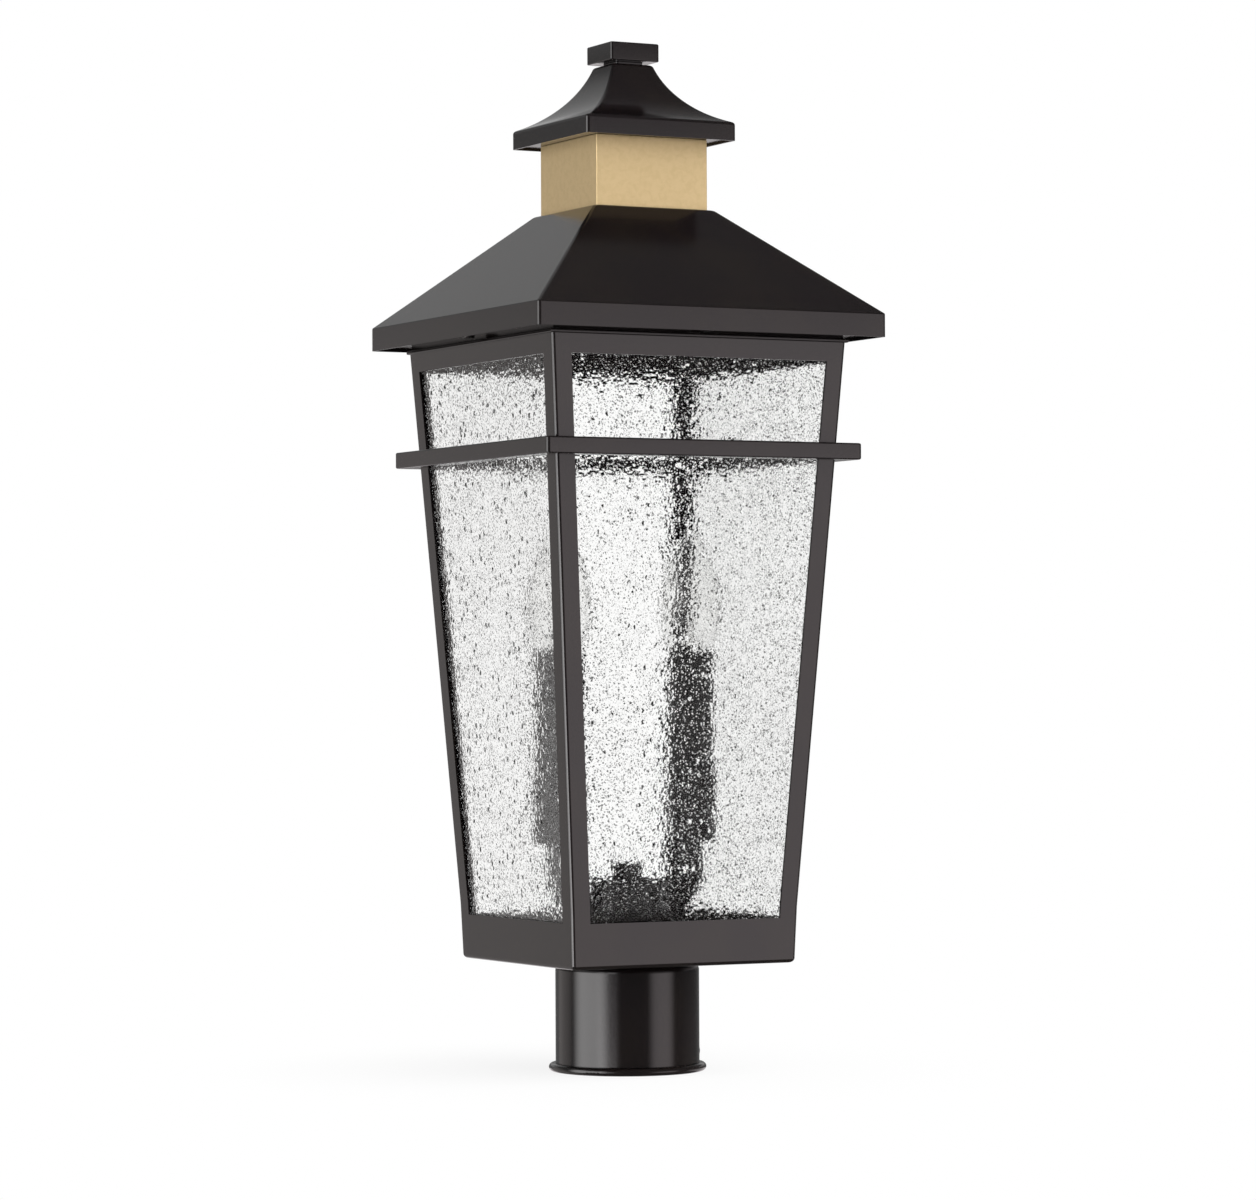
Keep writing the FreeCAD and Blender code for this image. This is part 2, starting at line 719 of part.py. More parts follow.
def hub_cup(arms):
    cup = cylinder(hub_radius, hub_bottom, hub_top)
    rim = [e for e in cup.Edges if isinstance(e.Curve, Part.Circle) and e.BoundBox.ZMin > hub_top - 1e-6]
    cup = cup.makeFillet(hub_wall, rim)
    cup = cup.cut(cylinder(hub_radius - hub_wall, hub_bottom - OVERRUN, hub_top - hub_wall))
    cup = cup.cut(cylinder(nipple_radius + hole_clearance, hub_bottom, hub_top + OVERRUN))
    for arm in arms:
        cup = cup.cut(arm)
    return cup


def hub_cap_nut():
    nut = hexagon(cap_nut_flats, hub_top, hub_top + cap_nut_height)
    bore = cylinder(nipple_radius + thread_clearance, hub_top - OVERRUN, hub_top + cap_nut_bore_depth)
    return nut.cut(bore)


def bent_bar(radius, side, start_level, foot_x, path_tail=()):
    """Round bar from the cup down the arm's line to foot_x, and on along path_tail."""
    x = side * candle_half_spacing
    bend_top = arm_level + arm_bend_radius
    inner = side * (candle_half_spacing - arm_bend_radius)
    turn = arm_bend_radius * (1 - math.sqrt(0.5))
    edges = [Part.makeLine(Vector(x, 0, start_level), Vector(x, 0, bend_top)),
             Part.Arc(Vector(x, 0, bend_top), Vector(x - side * turn, 0, arm_level + turn),
                      Vector(inner, 0, arm_level)).toShape(),
             Part.makeLine(Vector(inner, 0, arm_level), Vector(side * foot_x, 0, arm_level))]
    edges.extend(path_tail)
    circle = Part.Wire(Part.makeCircle(radius, Vector(x, 0, start_level), Vector(0, 0, -1)))
    return Part.Wire(edges).makePipeShell([circle], True, True)


def arm_solid(side, radius):
    foot = candle_half_spacing - arm_bend_radius - arm_in_hub
    return bent_bar(radius, side, cup_bottom, foot)


def arm(side):
    return arm_solid(side, arm_radius).cut(arm_solid(side, arm_radius - arm_wall))


def lead(side):
    """Pair of insulated wires from the socket, through the arm and the slot, into the nipple."""
    turn_x = lead_half_gap + lead_turn_radius
    turn = lead_turn_radius * (1 - math.sqrt(0.5))
    turn_end = arm_level - lead_turn_radius
    tail_end = locknut_top() - locknut_height - nipple_tail
    tail = [Part.Arc(Vector(side * turn_x, 0, arm_level),
                     Vector(side * (lead_half_gap + turn), 0, arm_level - turn),
                     Vector(side * lead_half_gap, 0, turn_end)).toShape(),
            Part.makeLine(Vector(side * lead_half_gap, 0, turn_end),
                          Vector(side * lead_half_gap, 0, tail_end))]
    return bent_bar(lead_radius, side, socket_bottom, turn_x, tail)


def arm_nipples():
    bottom = cup_floor_top + holder_sheet - arm_nipple_length / 2
    return Part.makeCompound([ring(arm_nipple_radius, nipple_bore_radius, bottom,
                                   bottom + arm_nipple_length, x, 0) for _, x in LAMPS])


def candle_cup(x):
    cup = cylinder(cup_radius, cup_bottom, cup_bottom + cup_height, x)
    low = [e for e in cup.Edges if isinstance(e.Curve, Part.Circle) and e.BoundBox.ZMax < cup_bottom + 1e-6]
    cup = cup.makeFillet(cup_wall, low)
    cup_top = cup_bottom + cup_height
    cup = cup.cut(cylinder(sleeve_radius + slip_clearance, cup_floor_top, cup_top + OVERRUN, x))
    bore = cylinder(arm_nipple_radius + thread_clearance, cup_bottom - OVERRUN, cup_floor_top + OVERRUN, x)
    return cup.cut(bore)


def candle_sleeve(x):
    return ring(sleeve_radius, sleeve_radius - sleeve_wall, cup_floor_top, sleeve_top, x)


def socket_holders():
    """Steel straps that carry the sockets above the cups, one solid for each lamp."""
    holders = []
    for _, x in LAMPS:
        foot_top = cup_floor_top + holder_sheet
        foot = cylinder(holder_foot_radius, cup_floor_top, foot_top, x)
        half = holder_width / 2
        outer = socket_radius + holder_sheet
        tab = box((x - half, 0, cup_floor_top), (x + half, outer, foot_top))
        strap_top = socket_bottom + holder_grip
        strap = box((x - half, socket_radius, cup_floor_top), (x + half, outer, strap_top))
        holder = foot.fuse(tab).fuse(strap)
        holder = holder.cut(cylinder(arm_nipple_radius + thread_clearance, cup_bottom, socket_bottom, x))
        holders.append(holder.removeSplitter())
    return Part.makeCompound(holders)


def socket_body(x):
    body = cylinder(socket_radius, socket_bottom, socket_top, x)
    return body.cut(cylinder(socket_shell_radius, socket_bottom + socket_floor, socket_top + OVERRUN, x))


def socket_shell(x):
    bottom = socket_bottom + socket_floor
    inner = socket_shell_radius - socket_shell_wall
    return ring(socket_shell_radius, inner, bottom, socket_top, x)


def socket_contacts():
    bottom = socket_bottom + socket_floor
    return Part.makeCompound([cylinder(contact_radius, bottom, bottom + contact_height, x) for _, x in LAMPS])


# ---- bulbs ----
def bulb_base(x):
    shell_bottom = bulb_bottom + bulb_tip_height
    shell = cylinder(bulb_base_radius, shell_bottom, bulb_neck_level, x)
    low = [e for e in shell.Edges
           if isinstance(e.Curve, Part.Circle) and e.BoundBox.ZMax < shell_bottom + 1e-6]
    shell = shell.makeChamfer(bulb_tip_height, low)
    return shell.fuse(cylinder(bulb_tip_radius, bulb_bottom, shell_bottom + OVERRUN, x)).removeSplitter()


def bulb_solid(inset, x):
    """Torpedo glass: a neck that swells to a belly and draws in to a rounded tip."""
    neck = bulb_neck_radius - inset
    shoulder = sleeve_top + bulb_shoulder_rise
    belly = bulb_neck_level + bulb_belly_height
    taper = bulb_neck_level + bulb_taper_height
    bottom = bulb_neck_level - (OVERRUN if inset else 0)
    tip = bulb_neck_level + bulb_height - inset
    points = [Vector(neck, 0, bottom)]
    for radius, level in ((bulb_shoulder_radius, shoulder), (bulb_belly_radius, belly),
                          (bulb_taper_radius, taper)):
        points.append(Vector(radius - inset, 0, level))
    points.append(Vector(0, 0, tip))
    curve = Part.BSplineCurve()
    curve.interpolate(Points=points, InitialTangent=Vector(bulb_neck_flare, 0, 1),
                      FinalTangent=Vector(-1, 0, 0))
    side = curve.toShape()
    closing = Part.makePolygon([Vector(0, 0, tip), Vector(0, 0, bottom), Vector(neck, 0, bottom)])
    face = Part.Face(Part.Wire([side] + closing.Edges))
    solid = face.revolve(Vector(0, 0, 0), UP, 360)
    solid.translate(Vector(x, 0, 0))
    if solid.Volume < 0:
        solid.reverse()
    return solid


def bulb_glass(x):
    return bulb_solid(0, x).cut(bulb_solid(bulb_wall, x))


def bulb_mount(x):
    """Glass stem on the base, two support wires and the filament between them."""
    stem_top = bulb_neck_level + stem_height
    stem = cylinder(stem_radius, bulb_neck_level, stem_top, x)
    wires = []
    for side in (-1, 1):
        foot = Vector(x + side * support_foot, 0, stem_top - OVERRUN)
        head = Vector(x + side * support_spread, 0, stem_top + filament_rise)
        line = head - foot
        wires.append(Part.makeCylinder(support_radius, line.Length, foot, line))
    left = Vector(x - support_spread, 0, stem_top + filament_rise)
    right = Vector(x + support_spread, 0, stem_top + filament_rise)
    crown = Vector(x, 0, stem_top + filament_rise + support_spread)
    arc = Part.Arc(left, crown, right).toShape()
    section = Part.Wire(Part.makeCircle(support_radius, left, Vector(0, 0, 1)))
    filament = Part.Wire([arc]).makePipeShell([section], True, True)
    mount = stem
    for wire in wires:
        mount = mount.fuse(wire)
    for end in (left, right):
        mount = mount.fuse(Part.makeSphere(support_weld_radius, end))
    return mount.fuse(filament)


def ground_screw():
    x = ground_screw_place
    head = hexagon(ground_screw_flats, floor_top, floor_top + ground_screw_head, x, x)
    shank = cylinder(ground_screw_radius, floor_top - ground_screw_length, floor_top + OVERRUN, x, x)
    return head.fuse(shank).removeSplitter()


# ---- the assembly: one node for each piece, or for a group of like fasteners ----
def build():
    nodes = {"post_fitter": post_fitter(), "fitter_gasket": fitter_gasket()}
    nodes["base_pan"] = base_pan()
    for quarter, side in enumerate(SIDES):
        nodes["corner_post_" + CORNERS[quarter]] = turned(corner_post(), quarter - 1)
        nodes["top_rail_" + side] = turned(top_rail(), quarter)
        nodes["glass_pane_" + side] = turned(glass_pane(), quarter)
        nodes["roof_screw_" + side] = turned(roof_screw(), quarter)
    nodes["mid_band"] = mid_band()
    nodes["soffit_plate"] = soffit_plate()
    nodes["glass_clips"] = glass_clips()
    nodes["set_screw_right"] = set_screw()
    nodes["set_screw_back"] = turned(set_screw(), 1)

    nodes["main_roof"] = main_roof()
    nodes["brass_neck"] = brass_neck()
    nodes["cap_roof"] = cap_roof()
    nodes["cap_plate"] = cap_plate()
    nodes["finial"] = finial()
    nodes["roof_rod"] = roof_rod()
    nodes["rod_nut"] = rod_nut()
    nodes["roof_brackets"] = roof_brackets()

    nodes["center_nipple"] = center_nipple()
    nodes["fitter_washer"] = fitter_washer()
    nodes["fitter_locknut"] = fitter_locknut()
    nodes["hub_pedestal"] = hub_pedestal()
    nodes["hub_cup"] = hub_cup([arm_solid(side, arm_radius) for side in (-1, 1)])
    nodes["hub_cap_nut"] = hub_cap_nut()
    nodes["arm_nipples"] = arm_nipples()
    nodes["socket_holders"] = socket_holders()
    nodes["socket_contacts"] = socket_contacts()
    nodes["ground_screw"] = ground_screw()
    for name, x in LAMPS:
        side = math.copysign(1, x)
        nodes["arm_" + name] = arm(side)
        nodes["lead_" + name] = lead(side)
        nodes["candle_cup_" + name] = candle_cup(x)
        nodes["candle_sleeve_" + name] = candle_sleeve(x)
        nodes["socket_body_" + name] = socket_body(x)
        nodes["socket_shell_" + name] = socket_shell(x)
        nodes["bulb_base_" + name] = bulb_base(x)
        nodes["bulb_glass_" + name] = bulb_glass(x)
        nodes["bulb_mount_" + name] = bulb_mount(x)
    return nodes


os.makedirs("parts", exist_ok=True)
for node, shape in build().items():
    shape.exportStep(os.path.join("parts", node + ".step"))
    print("%-22s solids %2d  volume %10.1f  %s" % (node, len(shape.Solids), shape.Volume, shape.isValid()))
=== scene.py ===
"""Post top lantern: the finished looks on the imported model.

Each piece, or group of like pieces, has its own operator, and the stage has one too.
All lengths are in metres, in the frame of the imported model.
"""

import math

import bmesh
import bpy
import numpy as np
from bpy.props import FloatProperty, FloatVectorProperty, IntProperty, PointerProperty
from mathutils import Matrix, Vector, noise


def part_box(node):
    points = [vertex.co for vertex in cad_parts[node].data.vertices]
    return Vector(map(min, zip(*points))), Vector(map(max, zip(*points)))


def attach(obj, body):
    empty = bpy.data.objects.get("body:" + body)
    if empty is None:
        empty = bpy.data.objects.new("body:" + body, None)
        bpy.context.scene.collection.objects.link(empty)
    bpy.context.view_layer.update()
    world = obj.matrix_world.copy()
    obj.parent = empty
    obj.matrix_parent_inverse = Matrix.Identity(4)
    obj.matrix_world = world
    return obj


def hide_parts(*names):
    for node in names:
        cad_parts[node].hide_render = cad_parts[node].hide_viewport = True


bl_info = {
    "name": "Post Top Lantern",
    "version": (1, 0, 0),
    "blender": (4, 5, 0),
    "location": "View3D > Sidebar > Lantern",
    "description": "Makes the finished pieces, finishes and stage of a post top lantern",
    "category": "Object",
}

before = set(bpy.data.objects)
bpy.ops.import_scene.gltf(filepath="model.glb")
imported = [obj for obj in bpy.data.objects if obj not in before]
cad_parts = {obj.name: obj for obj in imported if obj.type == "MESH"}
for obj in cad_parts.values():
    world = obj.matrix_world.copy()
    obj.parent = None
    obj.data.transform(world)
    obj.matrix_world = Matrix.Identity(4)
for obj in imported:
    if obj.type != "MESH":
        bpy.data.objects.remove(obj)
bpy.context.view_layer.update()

SIDES = {"front": (0, -1), "right": (1, 0), "back": (0, 1), "left": (-1, 0)}
HANDS = {"left": -1, "right": 1}


# ---------------------------------------------------------------- settings


def length_property(label, what, default, low=0.0, high=1.0):
    return FloatProperty(
        name=label, description=what, default=default, min=low, max=high,
        unit="LENGTH", subtype="DISTANCE", precision=5,
    )


def colour_property(label, what, default):
    return FloatVectorProperty(
        name=label, description=what, default=default, min=0.0, max=1.0,
        size=3, subtype="COLOR",
    )


class LanternGlassSettings(bpy.types.PropertyGroup):
    """Sizes and colour of the seeded glass."""

    ripple_height: length_property(
        "Ripple height", "How far the faces of a pane wander in and out", 0.00007, 0, 0.001)
    ripple_length: length_property(
        "Ripple length", "Distance between two swells of a pane's face", 0.011, 0.002, 0.1)
    grain_step: length_property(
        "Grain step", "Distance between two points of the outer face's grain", 0.00125, 0.001, 0.01)
    grain_height: length_property(
        "Grain height", "Usual height of the fine grain all over the outer face", 0.00003, 0, 0.001)
    pit_height: length_property(
        "Pit height", "Greatest height or depth of the outer face's pimples and pits",
        0.0006, 0, 0.001)
    pit_share: FloatProperty(
        name="Pit share", description="Share of the grain's points that are pimples or pits",
        default=0.015, min=0.0, max=1.0, subtype="FACTOR")
    seed_smallest: length_property(
        "Smallest seed", "Radius of the smallest air bubble", 0.00026, 0.0001, 0.001)
    seed_largest: length_property(
        "Largest seed", "Radius of the largest air bubble", 0.00062, 0.0001, 0.002)
    seed_count: IntProperty(
        name="Seeds per pane", description="Air bubbles in one pane", default=700, min=0,
        max=1200)
    seed_stretch: FloatProperty(
        name="Seed stretch", description="How much longer than wide a bubble may be",
        default=2.0, min=1.0, max=4.0, subtype="FACTOR")
    tint: colour_property(
        "Glass tint", "Colour that white takes at one face", (0.995, 0.996, 0.992))
    # Painted shade: the dark colour of small dots in the panes, which stand in for the darkening
    # that the smallest seeds give by refraction.
    painted_seed_shade: colour_property(
        "Seed shade", "Colour that white takes at the smallest seeds", (0.03, 0.03, 0.03))


class LanternFinishSettings(bpy.types.PropertyGroup):
    """Colours of the paints and plastics."""

    paint: colour_property("Paint", "The black paint in its plain areas", (0.0066, 0.0046, 0.0049))
    paint_brown: colour_property(
        "Paint, brown cast", "The black paint where it leans to brown", (0.0086, 0.0062, 0.0055))
    brass: colour_property("Brass paint", "The champagne colour of the neck", (0.68, 0.515, 0.275))
    brass_deep: colour_property(
        "Brass paint, deep", "The neck's colour in the hollows of its grain", (0.64, 0.48, 0.25))
    candle: colour_property("Candle sleeve", "The dark sleeves of the lamps", (0.016, 0.015, 0.015))


class LanternStageSettings(bpy.types.PropertyGroup):
    """Sizes and levels of the floor and the light."""

    floor_radius: length_property("Floor radius", "Radius of the round floor", 6.0, 1.0, 20.0)
    shadow_radius: length_property(
        "Shadow radius", "Where the floor's shadow has faded out", 0.26, 0.1, 3.0)
    shadow: FloatProperty(
        name="Shadow", description="Strength of the floor's shadow at the foot",
        default=0.12, min=0.0, max=1.0, subtype="FACTOR")
    glossy_level: FloatProperty(
        name="Reflected room", description="Brightness of the room in reflections",
        default=1.0, min=0.0, max=5.0, subtype="FACTOR")
    diffuse_level: FloatProperty(
        name="Soft light", description="Brightness of the light on matt surfaces",
        default=1.0, min=0.0, max=5.0, subtype="FACTOR")


# ---------------------------------------------------------------- node helpers


def link(tree, source, target):
    tree.links.new(source, target)


def add_node(tree, kind, sockets=None, **values):
    """A node of a tree, with its properties set and its sockets fed."""
    node = tree.nodes.new(kind)
    for key, value in values.items():
        setattr(node, key, value)
    for key, value in (sockets or {}).items():
        feed(tree, node.inputs[key], value)
    return node


def set_inputs(node, **values):
    """Sets a node's sockets, named with an underscore for each space."""
    for key, value in values.items():
        node.inputs[key.replace("_", " ")].default_value = value
    return node


def feed(tree, socket, value):
    """Puts a number, a vector or another node's output into a socket."""
    if isinstance(value, bpy.types.NodeSocket):
        tree.links.new(value, socket)
    else:
        socket.default_value = value


def math_node(tree, operation, first, second=0.0, clamp=False):
    return add_node(
        tree, "ShaderNodeMath", {0: first, 1: second}, operation=operation,
        use_clamp=clamp).outputs[0]


def linear_range(tree, value, start, end, low=0.0, high=1.0, kind="LINEAR"):
    """Goes from low to high while value goes from start to end."""
    sockets = dict(enumerate((value, start, end, low, high)))
    return add_node(tree, "ShaderNodeMapRange", sockets, interpolation_type=kind).outputs[0]


def smooth_range(tree, value, start, end, low=0.0, high=1.0):
    return linear_range(tree, value, start, end, low, high, "SMOOTHSTEP")


def mix_colours(tree, factor, first, second):
    node = add_node(tree, "ShaderNodeMix", data_type="RGBA")
    feed(tree, node.inputs["Factor"], factor)
    for socket, value in (("A", first), ("B", second)):
        target = [s for s in node.inputs if s.name == socket and s.type == "RGBA"][0]
        feed(tree, target, value if isinstance(value, bpy.types.NodeSocket) else rgba(value))
    return [s for s in node.outputs if s.type == "RGBA"][0]


def rgba(colour):
    return (colour[0], colour[1], colour[2], 1.0)


def noise_texture(tree, vector, scale, detail=2.0, roughness=0.5, distortion=0.0):
    return add_node(tree, "ShaderNodeTexNoise", {
        "Vector": vector, "Scale": scale, "Detail": detail, "Roughness": roughness,
        "Distortion": distortion}).outputs[0]


def vector_node(tree, operation, first, second, output=0):
    node = add_node(tree, "ShaderNodeVectorMath", {0: first, 1: second}, operation=operation)
    return node.outputs[output]


def scaled_vector(tree, vector, factor):
    """A vector times a number."""
    return add_node(
        tree, "ShaderNodeVectorMath", {0: vector, "Scale": factor}, operation="SCALE").outputs[0]


def new_group(name, inputs, outputs):
    """A shader node group with named float inputs and a vector one, and named float outputs."""
    tree = bpy.data.node_groups.new(name, "ShaderNodeTree")
    place = tree.interface.new_socket("Vector", in_out="INPUT", socket_type="NodeSocketVector")
    place.description = "Object coordinates in metres"
    for label, default in inputs.items():
        socket = tree.interface.new_socket(label, in_out="INPUT", socket_type="NodeSocketFloat")
        socket.default_value = default
    for label in outputs:
        tree.interface.new_socket(label, in_out="OUTPUT", socket_type="NodeSocketFloat")
    start = tree.nodes.new("NodeGroupInput")
    end = tree.nodes.new("NodeGroupOutput")
    return tree, start, end


# ---------------------------------------------------------------- shared effects


def make_coat_group():
    """Sprayed paint: fine orange peel and a slow change of colour."""
    tree, start, end = new_group(
        "sprayed_coat", {"Peel Size": 0.0012, "Cloud Size": 0.03}, ("Peel", "Cloud"),
    )
    place = start.outputs["Vector"]
    peel_scale = math_node(tree, "DIVIDE", 1.0, start.outputs["Peel Size"])
    cloud_scale = math_node(tree, "DIVIDE", 1.0, start.outputs["Cloud Size"])
    peel = noise_texture(tree, place, peel_scale, detail=2.5, roughness=0.55)
    cloud = noise_texture(tree, place, cloud_scale, detail=4.0, roughness=0.6, distortion=0.6)
    link(tree, peel, end.inputs["Peel"])
    link(tree, smooth_range(tree, cloud, 0.38, 0.68), end.inputs["Cloud"])
    return tree


def make_turned_group():
    """Machined metal: fine lines across the vertical axis, and patches of wear."""
    tree, start, end = new_group(
        "machined_marks", {"Line Size": 0.0003}, ("Lines", "Wear"),
    )
    place = start.outputs["Vector"]
    scale = math_node(tree, "DIVIDE", 1.0, start.outputs["Line Size"])
    drawn = vector_node(tree, "MULTIPLY", place, (0.12, 0.12, 1.0))
    lines = noise_texture(tree, drawn, scale, 3.0)
    wear_scale = math_node(tree, "MULTIPLY", scale, 0.08)
    wear = noise_texture(tree, place, wear_scale, 4.0, 0.6)
    link(tree, lines, end.inputs["Lines"])
    link(tree, smooth_range(tree, wear, 0.42, 0.66), end.inputs["Wear"])
    return tree


def make_glass_group():
    """Blown or rolled glass: slow waves with fine steep pits, and a mask of small dots, which the
    panes darken as painted shade standing in for the smallest seeds.
    """
    tree, start, end = new_group(
        "worked_glass",
        {"Wave Size": 0.006, "Wave Share": 0.1, "Pit Size": 0.0009, "Pit Radius": 0.3,
         "Dot Size": 0.0022, "Dot Share": 0.2},
        ("Height", "Dots"),
    )
    place = start.outputs["Vector"]

    def cells(size):
        scale = math_node(tree, "DIVIDE", 1.0, start.outputs[size])
        node = add_node(
            tree, "ShaderNodeTexVoronoi", {"Vector": place, "Scale": scale},
            voronoi_dimensions="3D", feature="F1")
        pick = add_node(tree, "ShaderNodeSeparateColor", {0: node.outputs["Color"]})
        return node.outputs["Distance"], pick.outputs[0]

    wave_scale = math_node(tree, "DIVIDE", 1.0, start.outputs["Wave Size"])
    waves = noise_texture(tree, place, wave_scale, 2.0)
    waves = math_node(tree, "MULTIPLY", waves, start.outputs["Wave Share"])
    distance, _ = cells("Pit Size")
    pits = math_node(tree, "MINIMUM", distance, start.outputs["Pit Radius"])
    link(tree, math_node(tree, "ADD", pits, waves), end.inputs["Height"])
    # Dots: a mask of small round dots; in the panes it carries the painted shade of the smallest
    # seeds.
    distance, pick = cells("Dot Size")
    rarest = math_node(tree, "SUBTRACT", 1.0, start.outputs["Dot Share"])
    dot_edge = linear_range(tree, pick, rarest, 1.0, 0.0, 0.42)
    dot_heart = math_node(tree, "MULTIPLY", dot_edge, 0.7)
    link(tree, smooth_range(tree, distance, dot_edge, dot_heart), end.inputs["Dots"])
    return tree


def effect(name):
    """The shared node group of that name, made the first time that it is asked for."""
    makers = {
        "sprayed_coat": make_coat_group,
        "machined_marks": make_turned_group,
        "worked_glass": make_glass_group,
    }
    return bpy.data.node_groups.get(name) or makers[name]()


def use_effect(tree, name, **values):
    """Places a shared group in a material, fed with Object coordinates."""
    place = add_node(tree, "ShaderNodeTexCoord").outputs["Object"]
    node = add_node(tree, "ShaderNodeGroup", node_tree=effect(name))
    link(tree, place, node.inputs["Vector"])
    return set_inputs(node, **values)


# ---------------------------------------------------------------- finishes


def start_finish(name, **plain):
    """A material with a Principled shader whose plain sockets are set."""
    material = bpy.data.materials.new(name)
    material.use_nodes = True
    tree = material.node_tree
    shader = tree.nodes["Principled BSDF"]
    set_inputs(shader, **plain)
    return material, tree, shader


def bump(tree, shader, height, depth):
    node = add_node(
        tree, "ShaderNodeBump", {"Height": height, "Strength": 1.0, "Distance": depth})
    link(tree, node.outputs[0], shader.inputs["Normal"])


def coated(settings, name, plain, cast, peel_size, peel_depth, cloud_size, gloss, **sockets):
    """A sprayed or moulded finish: two close colours, uneven gloss and a fine peel."""
    material, tree, shader = start_finish(name, **sockets)
    plain, cast = (getattr(settings, c) if isinstance(c, str) else c for c in (plain, cast))
    coat = use_effect(tree, "sprayed_coat", Peel_Size=peel_size, Cloud_Size=cloud_size)
    colour = mix_colours(tree, coat.outputs["Cloud"], plain, cast)
    link(tree, colour, shader.inputs["Base Color"])
    uneven = linear_range(tree, coat.outputs["Peel"], 0.3, 0.7, gloss[0], gloss[1])
    link(tree, uneven, shader.inputs["Roughness"])
    bump(tree, shader, coat.outputs["Peel"], peel_depth)
    return material


def machined(name, bright, dull, line_size, line_depth, gloss, metallic):
    """A bare metal finish: fine lines, and a duller colour where it has been handled."""
    material, tree, shader = start_finish(name, Metallic=metallic)
    marks = use_effect(tree, "machined_marks", Line_Size=line_size)
    link(tree, mix_colours(tree, marks.outputs["Wear"], bright, dull), shader.inputs["Base Color"])
    uneven = linear_range(tree, marks.outputs["Lines"], 0.3, 0.7, gloss[0], gloss[1])
    link(tree, uneven, shader.inputs["Roughness"])
    bump(tree, shader, marks.outputs["Lines"], line_depth)
    return material


def pane_finish(settings):
    """Clear seeded glass, finely pitted, with dark dots of painted shade that stand in for the
    smallest seeds.
    """
    material, tree, shader = start_finish(
        "seeded_glass", IOR=1.5, Transmission_Weight=1.0, Specular_Tint=(0.12, 0.12, 0.12, 1.0))
    worked = use_effect(
        tree, "worked_glass", Wave_Size=0.005, Wave_Share=0.1, Pit_Size=0.0017, Pit_Radius=0.27,
        Dot_Size=0.0019, Dot_Share=0.3)
    # Painted shade: the dots darken the glass's colour where the smallest seeds would darken the
    # view.
    colour = mix_colours(tree, worked.outputs["Dots"], settings.tint, settings.painted_seed_shade)
    link(tree, colour, shader.inputs["Base Color"])
    haze = linear_range(tree, worked.outputs["Dots"], 0.0, 1.0, 0.0, 0.06)
    link(tree, haze, shader.inputs["Roughness"])
    bump(tree, shader, worked.outputs["Height"], 0.0012)
    return material


def bulb_finish(_):
    """Thin blown glass with the faint unevenness of its wall."""
    material, tree, shader = start_finish(
        "blown_bulb_glass", IOR=1.46, Transmission_Weight=1.0)
    worked = use_effect(
        tree, "worked_glass", Wave_Size=0.012, Wave_Share=1.0, Pit_Radius=0.0, Dot_Size=0.01,
        Dot_Share=0.1)
    colour = mix_colours(tree, worked.outputs["Dots"], (0.99, 0.99, 0.985), (0.95, 0.955, 0.95))
    link(tree, colour, shader.inputs["Base Color"])
    uneven = linear_range(tree, worked.outputs["Height"], 0.2, 0.8, 0.0, 0.03)
    link(tree, uneven, shader.inputs["Roughness"])
    bump(tree, shader, worked.outputs["Height"], 0.00006)
    return material


# For each slot: its material, its two colours (or the settings that hold them), the size and depth
# of its peel, the size of its clouds, its range of roughness, and the shader's other sockets.
COATS = {
    "bronze_paint": (
        "black_satin_paint", "paint", "paint_brown", 0.0011, 0.000004, 0.045, (0.11, 0.165),
        {"IOR": 1.5}),
    "satin_brass": (
        "champagne_brass_paint", "brass", "brass_deep", 0.0008, 0.00002, 0.004, (0.42, 0.52),
        {"Metallic": 0.5, "IOR": 1.5}),
    "candle_black": (
        "black_candle_sleeve", "candle", (0.024, 0.022, 0.021), 0.0015, 0.00002, 0.02,
        (0.42, 0.55), {}),
    "socket_plastic": (
        "black_socket_plastic", (0.02, 0.02, 0.021), (0.03, 0.029, 0.028), 0.0009, 0.00001, 0.01,
        (0.38, 0.5), {}),
    "wire_black": (
        "black_wire_jacket", (0.014, 0.014, 0.014), (0.022, 0.021, 0.02), 0.0006, 0.00001, 0.006,
        (0.45, 0.6), {}),
    "gasket_rubber": (
        "grey_black_rubber", (0.022, 0.022, 0.023), (0.034, 0.033, 0.032), 0.0007, 0.00002, 0.008,
        (0.66, 0.8), {}),
}
# The same for bare metals: material, bright and dull colour, the size and depth of the lines, the
# range of roughness, and how metallic it is.
METALS = {
    "screw_steel": (
        "black_zinc_steel", (0.060, 0.058, 0.056), (0.035, 0.033, 0.032), 0.0002, 0.000004,
        (0.24, 0.4), 1.0),
    "ground_green": (
        "green_dyed_steel", (0.035, 0.22, 0.07), (0.028, 0.15, 0.05), 0.0002, 0.000004,
        (0.28, 0.42), 0.7),
    "contact_brass": (
        "bare_contact_brass", (0.80, 0.60, 0.30), (0.62, 0.44, 0.20), 0.00025, 0.000004,
        (0.2, 0.36), 1.0),
    "bulb_cap": (
        "tinned_lamp_cap", (0.68, 0.67, 0.64), (0.52, 0.50, 0.47), 0.0003, 0.000006,
        (0.2, 0.38), 1.0),
    "filament_metal": (
        "tungsten_wire", (0.42, 0.40, 0.38), (0.30, 0.28, 0.26), 0.0002, 0.000002,
        (0.3, 0.45), 1.0),
}
GLASSES = {"seeded_glass": pane_finish, "clear_glass": bulb_finish}
SLOTS = (*COATS, *METALS, *GLASSES)
made_finishes = {}


def finish_for(slot):
    """The material of one of the record's slots, made the first time that it is asked for."""
    if slot not in made_finishes:
        if slot in GLASSES:
            made = GLASSES[slot](bpy.context.scene.lantern_glass)
        elif slot in METALS:
            made = machined(*METALS[slot])
        else:
            *plain, sockets = COATS[slot]
            made = coated(bpy.context.scene.lantern_finish, *plain, **sockets)
        made_finishes[slot] = made
    return made_finishes[slot]


# ---------------------------------------------------------------- mesh helpers


